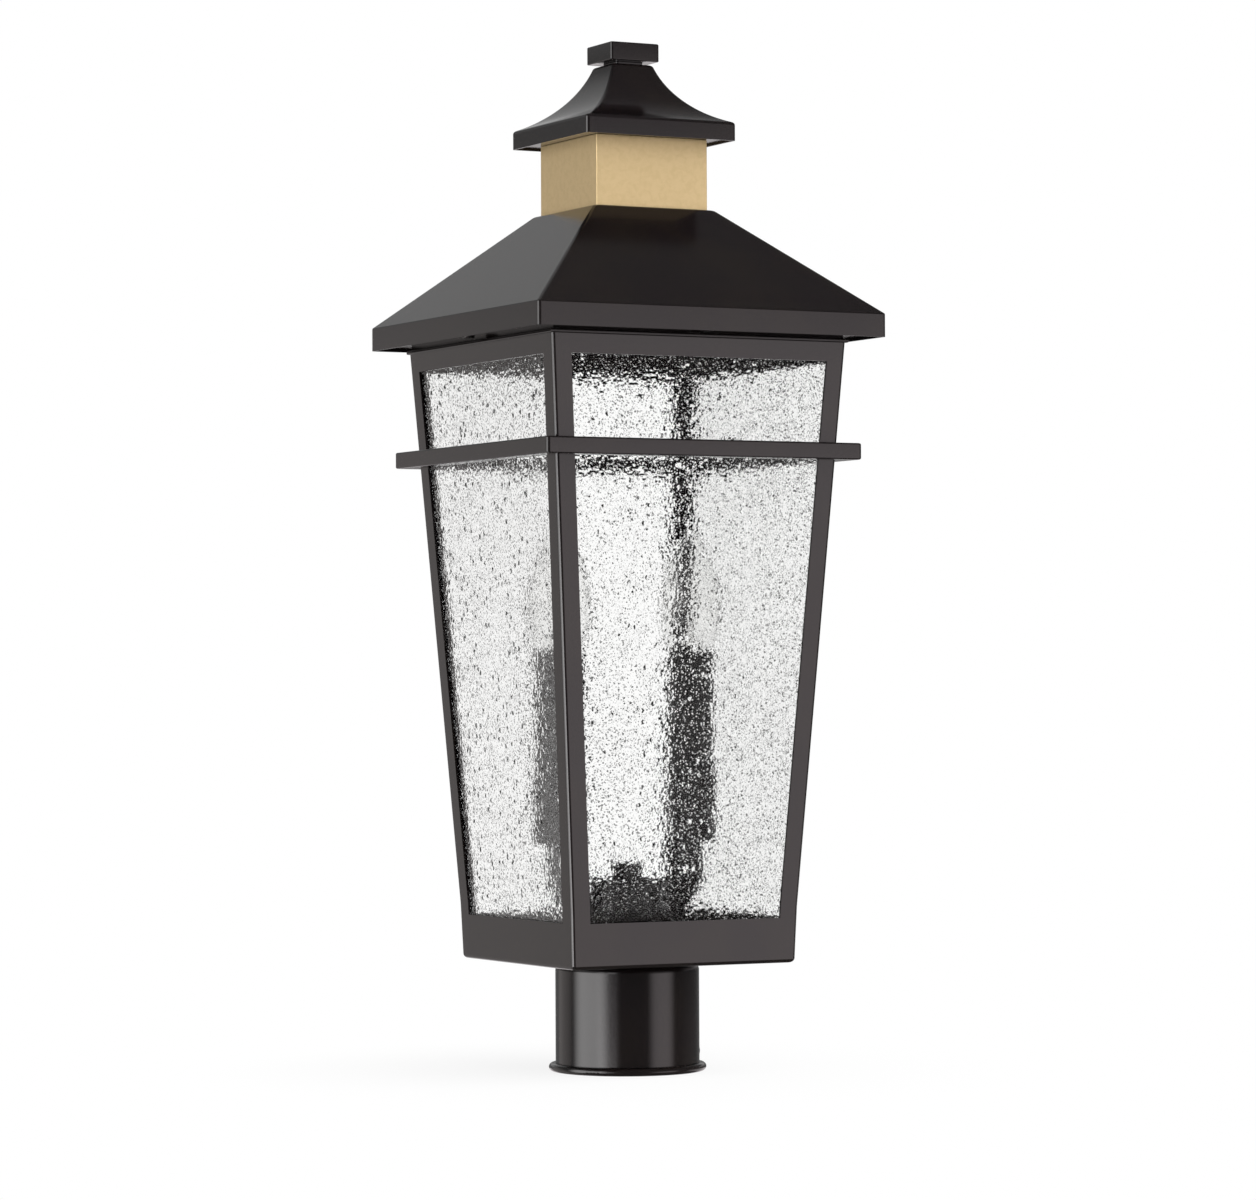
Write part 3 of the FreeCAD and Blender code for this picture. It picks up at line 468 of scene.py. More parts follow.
def add_piece(name, mesh, slot, body, *nodes):
    """Links a mesh as a piece on a body, with its finish, in place of CAD nodes."""
    piece = bpy.data.objects.new(name, mesh)
    bpy.context.scene.collection.objects.link(piece)
    mesh.materials.clear()
    mesh.materials.append(finish_for(slot))
    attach(piece, body)
    if nodes:
        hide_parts(*nodes)
    return piece


def mesh_from(name, points, faces, smooth=True):
    mesh = bpy.data.meshes.new(name)
    mesh.from_pydata([tuple(p) for p in points], [], [tuple(f) for f in faces])
    mesh.validate()
    if smooth:
        mesh.shade_smooth()
    mesh.update()
    return mesh


def ring_faces(rings, count):
    """The faces between rings of so many points, and from the last to the first.

    A ring of one point is a pole, and nothing joins two poles.
    """
    faces = []
    for low, high in zip(rings, rings[1:] + rings[:1]):
        for step in range(count):
            after = (step + 1) % count
            loop = (low[step % len(low)], low[after % len(low)],
                    high[after % len(high)], high[step % len(high)])
            face = [v for i, v in enumerate(loop) if v not in loop[:i]]
            if len(face) > 2:
                faces.append(face)
    return faces


def lathe(outline, steps, axis=(0.0, 0.0)):
    """Points and faces of a closed outline of (radius, level) turned round a vertical axis."""
    points, rings = [], []
    for radius, level in outline:
        if radius < 1e-7:
            rings.append([len(points)])
            points.append((axis[0], axis[1], level))
            continue
        ring = []
        for step in range(steps):
            turn = 2 * math.pi * step / steps
            ring.append(len(points))
            points.append((axis[0] + radius * math.cos(turn), axis[1] + radius * math.sin(turn),
                           level))
        rings.append(ring)
    return points, ring_faces(rings, steps)


def outward(mesh):
    """Turns the faces of a closed mesh outwards."""
    work = bmesh.new()
    work.from_mesh(mesh)
    bmesh.ops.remove_doubles(work, verts=work.verts, dist=1e-7)
    bmesh.ops.recalc_face_normals(work, faces=work.faces)
    work.to_mesh(mesh)
    work.free()
    mesh.update()


def sharp_edges(mesh, degrees):
    """Smooth shading, but for edges that turn by more than an angle."""
    mesh.shade_smooth()
    mesh.set_sharp_from_angle(angle=math.radians(degrees))


def modified(name, mesh, kind, prepare):
    """A plain mesh of what a modifier, set up by prepare, makes of a mesh."""
    holder = bpy.data.objects.new(name + "_holder", mesh)
    bpy.context.scene.collection.objects.link(holder)
    prepare(holder.modifiers.new("change", kind))
    bpy.context.view_layer.update()
    graph = bpy.context.evaluated_depsgraph_get()
    made = bpy.data.meshes.new_from_object(holder.evaluated_get(graph))
    made.name = name
    bpy.data.objects.remove(holder)
    return made


# ---------------------------------------------------------------- geometry nodes helpers


def new_tree(name, inputs):
    """A Geometry Nodes tree with a geometry and named inputs, and its two end nodes."""
    tree = bpy.data.node_groups.new(name, "GeometryNodeTree")
    tree.interface.new_socket("Geometry", in_out="INPUT", socket_type="NodeSocketGeometry")
    for label, (kind, default) in inputs.items():
        socket = tree.interface.new_socket(label, in_out="INPUT", socket_type="NodeSocket" + kind)
        if default is not None:
            socket.default_value = default
    tree.interface.new_socket("Geometry", in_out="OUTPUT", socket_type="NodeSocketGeometry")
    start = tree.nodes.new("NodeGroupInput")
    end = tree.nodes.new("NodeGroupOutput")
    return tree, start.outputs, end.inputs["Geometry"]


def end_tree(tree, geometry, material, target):
    """Realize Instances, Set Material and the output, which end each tree."""
    realize = add_node(tree, "GeometryNodeRealizeInstances", {0: geometry})
    finish = add_node(tree, "GeometryNodeSetMaterial", {
        "Geometry": realize.outputs[0], "Material": material})
    link(tree, finish.outputs[0], target)


def grown_mesh(name, base, tree, values):
    """Runs a tree on a base mesh and gives the result as a plain mesh."""

    def prepare(modifier):
        modifier.node_group = tree
        for item in tree.interface.items_tree:
            if item.item_type == "SOCKET" and item.in_out == "INPUT" and item.name in values:
                modifier[item.identifier] = values[item.name]

    mesh = modified(name, base, "NODES", prepare)
    if not mesh.vertices:
        raise RuntimeError(f"the tree {tree.name} made nothing for {name}")
    return mesh


# ---------------------------------------------------------------- panes


class PaneShape:
    """The trapezoid of one pane: its middle line, its widths and its thickness."""

    def __init__(self, side):
        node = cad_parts["glass_pane_" + side]
        corners = np.array([v.co for v in node.data.vertices])
        self.out = np.array([*SIDES[side], 0.0])
        self.along = np.array([-self.out[1], self.out[0], 0.0])
        depth = corners @ self.out
        level = corners[:, 2]
        low = level < level.mean()
        self.bottom, self.top = self._row(corners, depth, low), self._row(corners, depth, ~low)

    def _row(self, corners, depth, chosen):
        """Outer and inner (depth, level, half width) of the pane's lower or upper end."""
        rows = corners[chosen]
        deep = depth[chosen]
        order = np.argsort(deep)
        inner = rows[order[: len(order) // 2]]
        outer = rows[order[len(order) // 2:]]
        found = []
        for group in (outer, inner):
            found.append((
                float((group @ self.out).mean()), float(group[:, 2].mean()),
                float(np.abs(group @ self.along).max()),
            ))
        return found

    def size(self):
        """The greatest width and the height of the outer face."""
        return self.top[0][2] * 2, self.top[0][1] - self.bottom[0][1]

    def points(self, across, up, through):
        """across -1..1, up 0..1 and through 0 (outer face)..1 (inner face) to places."""
        rows = []
        for outer, inner in (self.bottom, self.top):
            rows.append([o + (i - o) * through for o, i in zip(outer, inner)])
        depth, level, half = [(a + (b - a) * up)[..., None] if np.ndim(up) else a + (b - a) * up
                              for a, b in zip(*rows)]
        across = np.asarray(across)[..., None] if np.ndim(across) else across
        return self.out * depth + self.along * half * across + np.array([0.0, 0.0, 1.0]) * level


HIDDEN_EDGE = 0.0055   # the pane's margin that stays flat, under the frame
CALM_EDGE = 0.0035     # and the width over which its grain then rises
INNER_EVERY = 3        # the inner face has one point for so many of the outer face's
SEED_DEPTH = 0.0008    # how far from the middle of the glass a seed may lie


def pane_face(shape, columns, rows, through, lift, shift):
    """The points of a pane's face, moved out by lift and along the face by shift, in metres."""
    across, up = np.meshgrid(np.linspace(-1, 1, columns + 1), np.linspace(0, 1, rows + 1))
    wide, high = shape.size()
    edge = np.minimum((1 - np.abs(across)) * wide / 2, np.minimum(up, 1 - up) * high)
    calm = np.clip((edge - HIDDEN_EDGE) / CALM_EDGE, 0, 1)
    across = across + shift[0] * calm * 2 / wide
    up = up + shift[1] * calm / high
    places = shape.points(across, up, through)
    return (places + shape.out * (lift * calm)[..., None]).reshape(-1, 3)


def ripples(shape, columns, rows, through, settings):
    """The slow swells of a pane's face."""
    found = np.empty((rows + 1, columns + 1))
    for row in range(rows + 1):
        for column in range(columns + 1):
            place = shape.points(2 * column / columns - 1, row / rows, through)
            spot = Vector(place / settings.ripple_length)
            found[row, column] = noise.noise(spot + Vector((0, 0, 31.7 * through)))
    return found * settings.ripple_height


def rolled_slab(name, shape, settings, number):
    """A closed slab: its outer face is rolled to a fine grain of facets, its inner one is calm."""
    wide, high = shape.size()
    inner_columns = round(wide / settings.grain_step / INNER_EVERY)
    inner_rows = round(high / settings.grain_step / INNER_EVERY)
    columns, rows = inner_columns * INNER_EVERY, inner_rows * INNER_EVERY
    chance = np.random.default_rng(70 + number)
    lattice = (rows + 1, columns + 1)
    lift = chance.normal(0.0, settings.grain_height, lattice)
    pits = chance.random(lattice) < settings.pit_share
    way = chance.choice((-1, 1), lattice)
    lift += pits * way * chance.uniform(0.5, 1.0, lattice) * settings.pit_height
    shift = chance.uniform(-0.25, 0.25, (2, *lattice))
    shift[0] += np.where(np.arange(rows + 1) % 2, 0.25, -0.25)[:, None]
    shift *= settings.grain_step
    outer = pane_face(shape, columns, rows, 0, lift, shift)
    calm_lift = ripples(shape, inner_columns, inner_rows, 1, settings)
    inner = pane_face(shape, inner_columns, inner_rows, 1, calm_lift, (0.0, 0.0))
    points = np.vstack((outer, inner))

    def quads(start, columns, rows):
        first = np.arange(columns) + (columns + 1) * np.arange(rows)[:, None] + start
        first = first.ravel()
        return np.stack((first, first + 1, first + columns + 2, first + columns + 1), axis=1)

    def rim(start, columns, rows):
        stride = columns + 1
        line = list(range(columns)) + [r * stride + columns for r in range(rows)]
        line += [rows * stride + c for c in range(columns, 0, -1)]
        line += [r * stride for r in range(rows, 0, -1)]
        return [start + item for item in line]

    faces = quads(0, columns, rows)
    odd = np.repeat(np.arange(rows) % 2, columns) > 0
    faces[odd] = np.roll(faces[odd], 1, axis=1)
    faces = faces.tolist()
    grained = len(faces)
    faces += quads(len(outer), inner_columns, inner_rows)[:, ::-1].tolist()
    outer_rim = rim(0, columns, rows)
    inner_rim = rim(len(outer), inner_columns, inner_rows)
    for index, here in enumerate(inner_rim):
        after = inner_rim[(index + 1) % len(inner_rim)]
        low = index * INNER_EVERY
        run = [outer_rim[(low + step) % len(outer_rim)] for step in range(INNER_EVERY + 1)]
        faces.append([*reversed(run), here, after])
    mesh = mesh_from(name, points, faces)
    outward(mesh)
    sharp_edges(mesh, 40)
    smooth = np.ones(len(mesh.polygons), bool)
    smooth[:grained] = False
    mesh.polygons.foreach_set("use_smooth", smooth)
    return mesh


def make_seed_tree():
    """Air bubbles spread through a sheet: random size, length and depth in the glass."""
    tree, given, target = new_tree("glass_seeds", {
        "Count": ("Float", 1000.0),
        "Smallest": ("Float", 0.0003),
        "Largest": ("Float", 0.0007),
        "Stretch": ("Float", 2.0),
        "Depth Range": ("Float", SEED_DEPTH),
        "Random Seed": ("Int", 1),
        "Material": ("Material", None),
    })
    spread = add_node(
        tree, "GeometryNodeDistributePointsOnFaces",
        {"Mesh": given["Geometry"], "Density": given["Count"], "Seed": given["Random Seed"]},
        distribute_method="RANDOM")

    def random_value(low, high, salt):
        node = add_node(tree, "FunctionNodeRandomValue", data_type="FLOAT")
        floats = [s for s in node.inputs if s.type == "VALUE"]
        feed(tree, floats[0], low)
        feed(tree, floats[1], high)
        feed(tree, node.inputs["Seed"], math_node(tree, "ADD", given["Random Seed"], salt))
        return [s for s in node.outputs if s.type == "VALUE"][0]

    lift = random_value(-1.0, 1.0, 3)
    offset = scaled_vector(
        tree, spread.outputs["Normal"], math_node(tree, "MULTIPLY", lift, given["Depth Range"]))
    moved = add_node(tree, "GeometryNodeSetPosition", {
        "Geometry": spread.outputs["Points"], "Offset": offset})

    bubble = add_node(tree, "GeometryNodeMeshUVSphere", {"Segments": 7, "Rings": 5, "Radius": 1.0})
    smooth = add_node(tree, "GeometryNodeSetShadeSmooth", {0: bubble.outputs["Mesh"]})
    hollow = add_node(tree, "GeometryNodeFlipFaces", {0: smooth.outputs[0]})

    share = random_value(0.0, 1.0, 11)
    small_more = math_node(tree, "POWER", share, 2.0)
    size_span = math_node(tree, "SUBTRACT", given["Largest"], given["Smallest"])
    grown = math_node(tree, "MULTIPLY", small_more, size_span)
    radius = math_node(tree, "ADD", given["Smallest"], grown)
    length = math_node(tree, "MULTIPLY", radius, random_value(1.0, given["Stretch"], 23))
    sizes = add_node(tree, "ShaderNodeCombineXYZ", {0: radius, 1: radius, 2: length})
    place = add_node(tree, "GeometryNodeInstanceOnPoints", {
        "Points": moved.outputs[0], "Instance": hollow.outputs[0], "Scale": sizes.outputs[0]})
    end_tree(tree, place.outputs[0], given["Material"], target)
    return tree


def middle_sheet(shape):
    """The flat sheet half way through a pane, a little inside its edges."""
    inset, low, high = 0.96, 0.02, 0.98
    ends = ((-inset, low), (inset, low), (inset, high), (-inset, high))
    corners = [shape.points(across, up, 0.5) for across, up in ends]
    return mesh_from("pane_middle", corners, [(0, 1, 2, 3)], smooth=False)


def make_pane(side, number, settings, tree):
    shape = PaneShape(side)
    slab = rolled_slab("pane_" + side, shape, settings, number)
    sheet = middle_sheet(shape)
    area = sum(p.area for p in sheet.polygons)
    seeds = grown_mesh("pane_seeds_" + side, sheet, tree, {
        "Count": settings.seed_count / area,
        "Smallest": settings.seed_smallest,
        "Largest": settings.seed_largest,
        "Stretch": settings.seed_stretch,
        "Depth Range": SEED_DEPTH,
        "Random Seed": 40 + number,
        "Material": finish_for("seeded_glass"),
    })
    work = bmesh.new()
    work.from_mesh(slab)
    work.from_mesh(seeds)
    work.to_mesh(slab)
    work.free()
    bpy.data.meshes.remove(seeds)
    return add_piece("pane_" + side, slab, "seeded_glass", "lantern", "glass_pane_" + side)


# ---------------------------------------------------------------- lamp pieces


ARM_BEND = 0.0206
BULB_WALL = 0.0006
SUPPORT_WIRE = 0.0003      # radius
SUPPORT_FEET = 0.0012      # from the lamp's axis to each support wire's foot
FILAMENT_WIRE = 0.00013    # radius
FILAMENT_COIL = 0.00055    # radius
FILAMENT_TURNS = 26.0
STEM_HEIGHT = 0.024


def round_tube(tree, line, radius, sides):
    """A closed tube of so many sides along a curve."""
    section = add_node(tree, "GeometryNodeCurvePrimitiveCircle", {
        "Resolution": sides, "Radius": radius})
    tube = add_node(tree, "GeometryNodeCurveToMesh", {
        "Curve": line, "Profile Curve": section.outputs[0], "Fill Caps": True})
    return tube.outputs[0]


def make_arm_tree():
    """A round tube along a run of straight lines whose corners are bent to a radius."""
    tree, given, target = new_tree("bent_tube", {
        "Tube Radius": ("Float", 0.006),
        "Bend Radius": ("Float", 0.02),
        "Material": ("Material", None),
    })
    line = add_node(tree, "GeometryNodeMeshToCurve", {0: given["Geometry"]})
    bend = add_node(
        tree, "GeometryNodeFilletCurve",
        {"Curve": line.outputs[0], "Radius": given["Bend Radius"], "Count": 14}, mode="POLY")
    tube = round_tube(tree, bend.outputs[0], given["Tube Radius"], 40)
    end_tree(tree, tube, given["Material"], target)
    return tree


def polyline(name, points):
    mesh = bpy.data.meshes.new(name)
    mesh.from_pydata([tuple(p) for p in points], [(i, i + 1) for i in range(len(points) - 1)], [])
    mesh.update()
    return mesh


def make_arm(hand, tree):
    """One bent arm, from the hub out and up into its candle cup."""
    node = "arm_" + hand
    low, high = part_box(node)
    radius = (high.y - low.y) / 2
    sign = HANDS[hand]
    start = high.x if sign < 0 else low.x
    far = (low.x if sign < 0 else high.x) - sign * radius
    level = low.z + radius
    path = polyline("arm_line", [(start, 0, level), (far, 0, level), (far, 0, high.z)])
    mesh = grown_mesh(node + "_tube", path, tree, {
        "Tube Radius": radius, "Bend Radius": ARM_BEND, "Material": finish_for("bronze_paint"),
    })
    outward(mesh)
    sharp_edges(mesh, 40)
    return add_piece(node + "_tube", mesh, "bronze_paint", "lantern", node)


def smooth_outline(rows, per_span):
    """More points on a smooth line through the rows of an outline."""
    rows = [np.array(r, float) for r in rows]
    padded = [2 * rows[0] - rows[1], *rows, 2 * rows[-1] - rows[-2]]
    found = []
    for index in range(1, len(padded) - 2):
        a, b, c, d = padded[index - 1: index + 3]
        for step in range(per_span):
            t = step / per_span
            found.append(0.5 * (2 * b + (c - a) * t + (2 * a - 5 * b + 4 * c - d) * t * t
                                + (3 * b - a - 3 * c + d) * t ** 3))
    found.append(rows[-1])
    return [(max(0.0, float(p[0])), float(p[1])) for p in found]


def make_bulb(hand):
    """The blown envelope of one lamp, open at its neck, where its cap holds it."""
    node = "bulb_glass_" + hand
    low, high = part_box(node)
    x = (low.x + high.x) / 2
    belly = (high.x - low.x) / 2
    scale = (high.z - low.z) / 80.0
    neck = belly * 0.354
    rows = [
        (neck, 0), (neck * 1.05, 3), (belly * 0.55, 9), (belly * 0.755, 14.4), (belly * 0.94, 23),
        (belly, 32), (belly * 0.955, 43), (belly * 0.83, 53.5), (belly * 0.68, 61.8),
        (belly * 0.465, 70), (belly * 0.255, 75.8), (belly * 0.11, 78.7), (0, 80),
    ]
    outer = smooth_outline([(r, low.z + h * scale) for r, h in rows], 5)
    inner = [(max(0.0, r - BULB_WALL), min(z, high.z - 2 * BULB_WALL))
             for r, z in reversed(outer)]
    points, faces = lathe(outer + inner, 64, (x, 0.0))
    mesh = mesh_from(node + "_blown", points, faces)
    outward(mesh)
    sharp_edges(mesh, 60)
    return add_piece(node + "_blown", mesh, "clear_glass", "bulb_" + hand, node)


def make_filament_tree():
    """A wire wound round a line: a coil, or a plain wire where it has no turns."""
    tree, given, target = new_tree("wound_wire", {
        "Coil Radius": ("Float", 0.0006),
        "Turns": ("Float", 20.0),
        "Wire Radius": ("Float", 0.0002),
        "Points": ("Int", 400),
        "Material": ("Material", None),
    })
    line = add_node(tree, "GeometryNodeMeshToCurve", {0: given["Geometry"]})
    even = add_node(tree, "GeometryNodeResampleCurve", {
        "Curve": line.outputs[0], "Count": given["Points"]})
    along = add_node(tree, "GeometryNodeSplineParameter").outputs["Factor"]
    turned = math_node(tree, "MULTIPLY", along, given["Turns"])
    angle = math_node(tree, "MULTIPLY", turned, 2 * math.pi)
    normal = add_node(tree, "GeometryNodeInputNormal").outputs[0]
    tangent = add_node(tree, "GeometryNodeInputTangent").outputs[0]
    across = vector_node(tree, "CROSS_PRODUCT", normal, tangent)
    out = scaled_vector(tree, normal, math_node(tree, "COSINE", angle))
    side = scaled_vector(tree, across, math_node(tree, "SINE", angle))
    both = vector_node(tree, "ADD", out, side)
    wound = add_node(tree, "GeometryNodeSetPosition", {
        "Geometry": even.outputs[0], "Offset": scaled_vector(tree, both, given["Coil Radius"])})
    wire = round_tube(tree, wound.outputs[0], given["Wire Radius"], 8)
    end_tree(tree, wire, given["Material"], target)
    return tree


def make_filament(hand, tree):
    """The support wires and the coiled filament of one lamp, and the glass stem that holds them."""
    node = "bulb_mount_" + hand
    low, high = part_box(node)
    x = (low.x + high.x) / 2
    spread = (high.x - low.x) / 2 - 0.0006
    stem_top = low.z + STEM_HEIGHT
    crown = high.z - spread - 0.0006
    arch = [(x + spread * math.cos(a), 0, crown + spread * math.sin(a))
            for a in (math.pi * (1 - step / 12) for step in range(13))]
    runs = [("coil", arch, FILAMENT_COIL, FILAMENT_TURNS, FILAMENT_WIRE, 620)]
    for sign in (-1, 1):
        support = [(x + sign * SUPPORT_FEET, 0, low.z + 0.004),
                   (x + sign * 0.0013, 0, stem_top), (x + sign * spread, 0, crown)]
        runs.append(("support", support, 0.0, 0.0, SUPPORT_WIRE, 24))
    work = bmesh.new()
    for label, line, coil, turns, wire, count in runs:
        part = grown_mesh("filament_" + label, polyline(label, line), tree, {
            "Coil Radius": coil, "Turns": turns, "Wire Radius": wire, "Points": count,
            "Material": finish_for("filament_metal"),
        })
        work.from_mesh(part)
        bpy.data.meshes.remove(part)
    mesh = bpy.data.meshes.new("filament_" + hand)
    work.to_mesh(mesh)
    work.free()
    outward(mesh)
    mesh.shade_smooth()
    add_piece("filament_" + hand, mesh, "filament_metal", "bulb_" + hand, node)
    rows = [(0.0, low.z), (0.0042, low.z), (0.0034, low.z + 0.004), (0.0026, low.z + 0.010),
            (0.0026, stem_top - 0.004), (0.0022, stem_top - 0.001), (0.0, stem_top)]
    points, faces = lathe(rows, 32, (x, 0.0))
    stem = mesh_from("lamp_stem_" + hand, points, faces)
    outward(stem)
    sharp_edges(stem, 50)
    add_piece("lamp_stem_" + hand, stem, "clear_glass", "bulb_" + hand)


# ---------------------------------------------------------------- square plan pieces


def rounded_line(corners, steps=5):
    """A line through corners of (half, level, radius), each bent to its radius."""
    found = []
    for index, (half, level, radius) in enumerate(corners):
        here = Vector((half, level))
        if radius <= 0 or index in (0, len(corners) - 1):
            found.append(here)
            continue
        before = (Vector(corners[index - 1][:2]) - here).normalized()
        after = (Vector(corners[index + 1][:2]) - here).normalized()
        half_turn = before.angle(after) / 2
        middle = here + (before + after).normalized() * (radius / math.sin(half_turn))
        start = here + before * (radius / math.tan(half_turn)) - middle
        end = here + after * (radius / math.tan(half_turn)) - middle
        sweep = start.angle_signed(end)
        for step in range(steps + 1):
            turn = Matrix.Rotation(-sweep * step / steps, 2)
            found.append(middle + turn @ start)
    return found


def square_rings(rows, steps=5):
    """Points and faces of a closed shell of square rings, each (half, level, corner radius)."""
    points, rings = [], []
    for half, level, corner in rows:
        if half < 1e-7:
            rings.append([len(points)])
            points.append((0.0, 0.0, level))
            continue
        ring = []
        reach = half - corner
        for quarter in range(4):
            for step in range(steps + 1):
                turn = math.pi / 2 * (quarter + step / steps)
                side = (math.cos(math.pi / 2 * quarter + math.pi / 4),
                        math.sin(math.pi / 2 * quarter + math.pi / 4))
                ring.append(len(points))
                points.append((math.copysign(reach, side[0]) + corner * math.cos(turn),
                               math.copysign(reach, side[1]) + corner * math.sin(turn), level))
        rings.append(ring)
    return points, ring_faces(rings, 4 * (steps + 1))


def finished_mesh(name, points, faces, degrees=30):
    """A closed mesh turned outwards, whose rounded edges shade off into flat faces."""

    def prepare(modifier):
        modifier.keep_sharp = True
        modifier.weight = 80

    mesh = mesh_from(name + "_raw", points, faces)
    outward(mesh)
    sharp_edges(mesh, degrees)
    return modified(name, mesh, "WEIGHTED_NORMAL", prepare)


def square_piece(name, rows, slot, body, *nodes):
    mesh = finished_mesh(name, *square_rings(rows))
    return add_piece(name, mesh, slot, body, *nodes)


SHEET = 0.0012         # the two roofs' sheet
HIP_ROUND = 0.0020     # the folds between two slopes
ROD_HOLE = 0.0034      # where the rod passes the roofs' flat tops
FASCIA_HEIGHT = 0.0132
CROWN_STEP = 0.003     # how far the main roof's flat top stands out round the neck


def make_main_roof():
    """The hipped roof: upright fascia, four slopes and the flat top under the neck."""
    low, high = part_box("main_roof")
    eave = low.z + FASCIA_HEIGHT
    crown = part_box("brass_neck")[1].x + CROWN_STEP
    line = rounded_line([
        (high.x, low.z, 0), (high.x, eave, 0.0012), (crown, high.z, 0.004),
        (ROD_HOLE, high.z, 0),
    ])
    slope = math.atan2(high.z - eave, high.x - crown)
    shift = SHEET / math.cos(slope) - SHEET * math.tan(slope)
    inner_eave = eave - shift
    inner_top = high.z - SHEET
    inner_crown = high.x - SHEET - (inner_top - inner_eave) / math.tan(slope)
    inside = rounded_line([
        (ROD_HOLE, inner_top, 0), (inner_crown, inner_top, 0.0028),
        (high.x - SHEET, inner_eave, 0.0004), (high.x - SHEET, low.z, 0),
    ])
    rows = [(p.x, p.y, min(p.x, HIP_ROUND) if p.x > 0.01 else p.x) for p in line]
    rows += [(p.x, p.y, 0.0003 if p.x > 0.01 else p.x) for p in inside]
    return square_piece("roof_skin", rows, "bronze_paint", "roof", "main_roof")


SWEEP_CENTRE = (0.0183, 0.0179)   # out from the cap roof's rim and up from its top
SWEEP_RADIUS = 0.0561
CAP_EDGE_ROUND = 0.0020
CAP_CROWN_ROUND = 0.0022


def make_cap_roof():
    """The small swept roof: fascia, concave sweep and flat top under the finial."""
    low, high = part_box("cap_roof")
    centre = Vector((high.x + SWEEP_CENTRE[0], high.z + SWEEP_CENTRE[1]))

    def profile(inset):
        radius = SWEEP_RADIUS + inset
        half = high.x - inset
        top = high.z - inset
        edge_round = max(CAP_EDGE_ROUND - inset, 0.0002)
        crown_round = max(CAP_CROWN_ROUND - inset, 0.0002)
        low_x = half - edge_round
        low_z = centre.y - math.sqrt((radius + edge_round) ** 2 - (low_x - centre.x) ** 2)
        high_z = top - crown_round
        high_x = centre.x - math.sqrt((radius + crown_round) ** 2 - (high_z - centre.y) ** 2)
        low_turn = math.atan2(centre.y - low_z, centre.x - low_x)
        high_turn = math.atan2(centre.y - high_z, centre.x - high_x)
        found = [Vector((half, low.z))]
        for middle, size, start, end, steps in (
                (Vector((low_x, low_z)), edge_round, 0.0, low_turn, 6),
                (centre, radius, low_turn - math.pi, high_turn - math.pi, 22),
                (Vector((high_x, high_z)), crown_round, high_turn, math.pi / 2, 6)):
            for step in range(steps + 1):
                turn = start + (end - start) * step / steps
                found.append(middle + Vector((math.cos(turn), math.sin(turn))) * size)
        found.append(Vector((ROD_HOLE, top)))
        return found

    rows = [(p.x, p.y, HIP_ROUND if p.x > 0.01 else p.x) for p in profile(0.0)]
    rows += [(p.x, p.y, 0.0003 if p.x > 0.01 else p.x) for p in reversed(profile(SHEET))]
    return square_piece("cap_roof_skin", rows, "bronze_paint", "roof", "cap_roof")


def make_neck():
    """The square champagne neck, bent from one strip, with soft corners and ends."""
    low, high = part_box("brass_neck")
    half, corner = high.x, 0.0007
    outer = rounded_line([
        (half - SHEET / 2, low.z, 0), (half, low.z, 0.0004), (half, high.z, 0.0004),
        (half - SHEET / 2, high.z, 0),
    ], 3)
    rows = [(p.x, p.y, corner) for p in outer]
    rows += [(half - SHEET, high.z, 0.0003), (half - SHEET, low.z, 0.0003)]
    return square_piece("neck_sleeve", rows, "satin_brass", "roof", "brass_neck")


def make_finial():
    """The square block on its short stem."""
    low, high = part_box("finial")
    stem = 0.0086
    under = low.z + 0.0016
    line = rounded_line([
        (0, low.z, 0), (stem, low.z, 0.0002), (stem, under, 0.0003), (high.x, under, 0.0006),
        (high.x, high.z, 0.0008), (0, high.z, 0),
    ], 4)
    rows = [(p.x, p.y, min(0.0014, p.x)) for p in line]
    return square_piece("finial_block", rows, "bronze_paint", "roof", "finial")


CAGE_SHEET = 0.0014
POST_LEG = 0.0115      # width of each leg of a post
POST_ROUND = 0.0021    # the folded edge of a post
FOOT_ROUND = 0.0024    # the pressed edge round the underside
NIPPLE_HOLE = 0.0054   # where the centre nipple passes the pan's floor
# Height over the underside and half width: at the foot, at the kink and at the top.
CAGE_ROWS = ((0.0, 0.0709), (0.032, 0.0721), (0.3514, 0.0932))


def cage_half(height):
    """Half width over the cage at a height over its underside."""
    for (low, low_half), (high, high_half) in zip(CAGE_ROWS, CAGE_ROWS[1:]):
        if height <= high:
            return low_half + (height - low) / (high - low) * (high_half - low_half)
    return CAGE_ROWS[-1][1]


def foot_face(height):
    """Half width over the cage at a height, less what its rounded foot takes off."""
    short = max(0.0, FOOT_ROUND - height)
    return cage_half(height) - FOOT_ROUND + math.sqrt(FOOT_ROUND ** 2 - short ** 2)


def foot_heights(above):
    """Heights through the rounded foot, and then those above it."""
    turns = [math.pi / 2 * step / 6 for step in range(7)]
    return [FOOT_ROUND * (1 - math.cos(turn)) for turn in turns] + above


def lofted(sections):
    """Points and faces of a closed solid through sections with equal numbers of points."""
    count = len(sections[0])
    points = [point for section in sections for point in section]
    faces = [tuple(range(count)), tuple(range(len(points) - count, len(points)))]
    for level in range(len(sections) - 1):
        for step in range(count):
            after = (step + 1) % count
            faces.append((level * count + step, level * count + after,
                          (level + 1) * count + after, (level + 1) * count + step))
    return points, faces


def corner_arc(edge, radius, steps):
    """The points of a rounded corner whose two faces stand at the same distance."""
    middle = edge - radius
    turns = [math.pi / 2 * step / steps for step in range(steps + 1)]
    return [(middle + radius * math.cos(t), middle + radius * math.sin(t)) for t in turns]


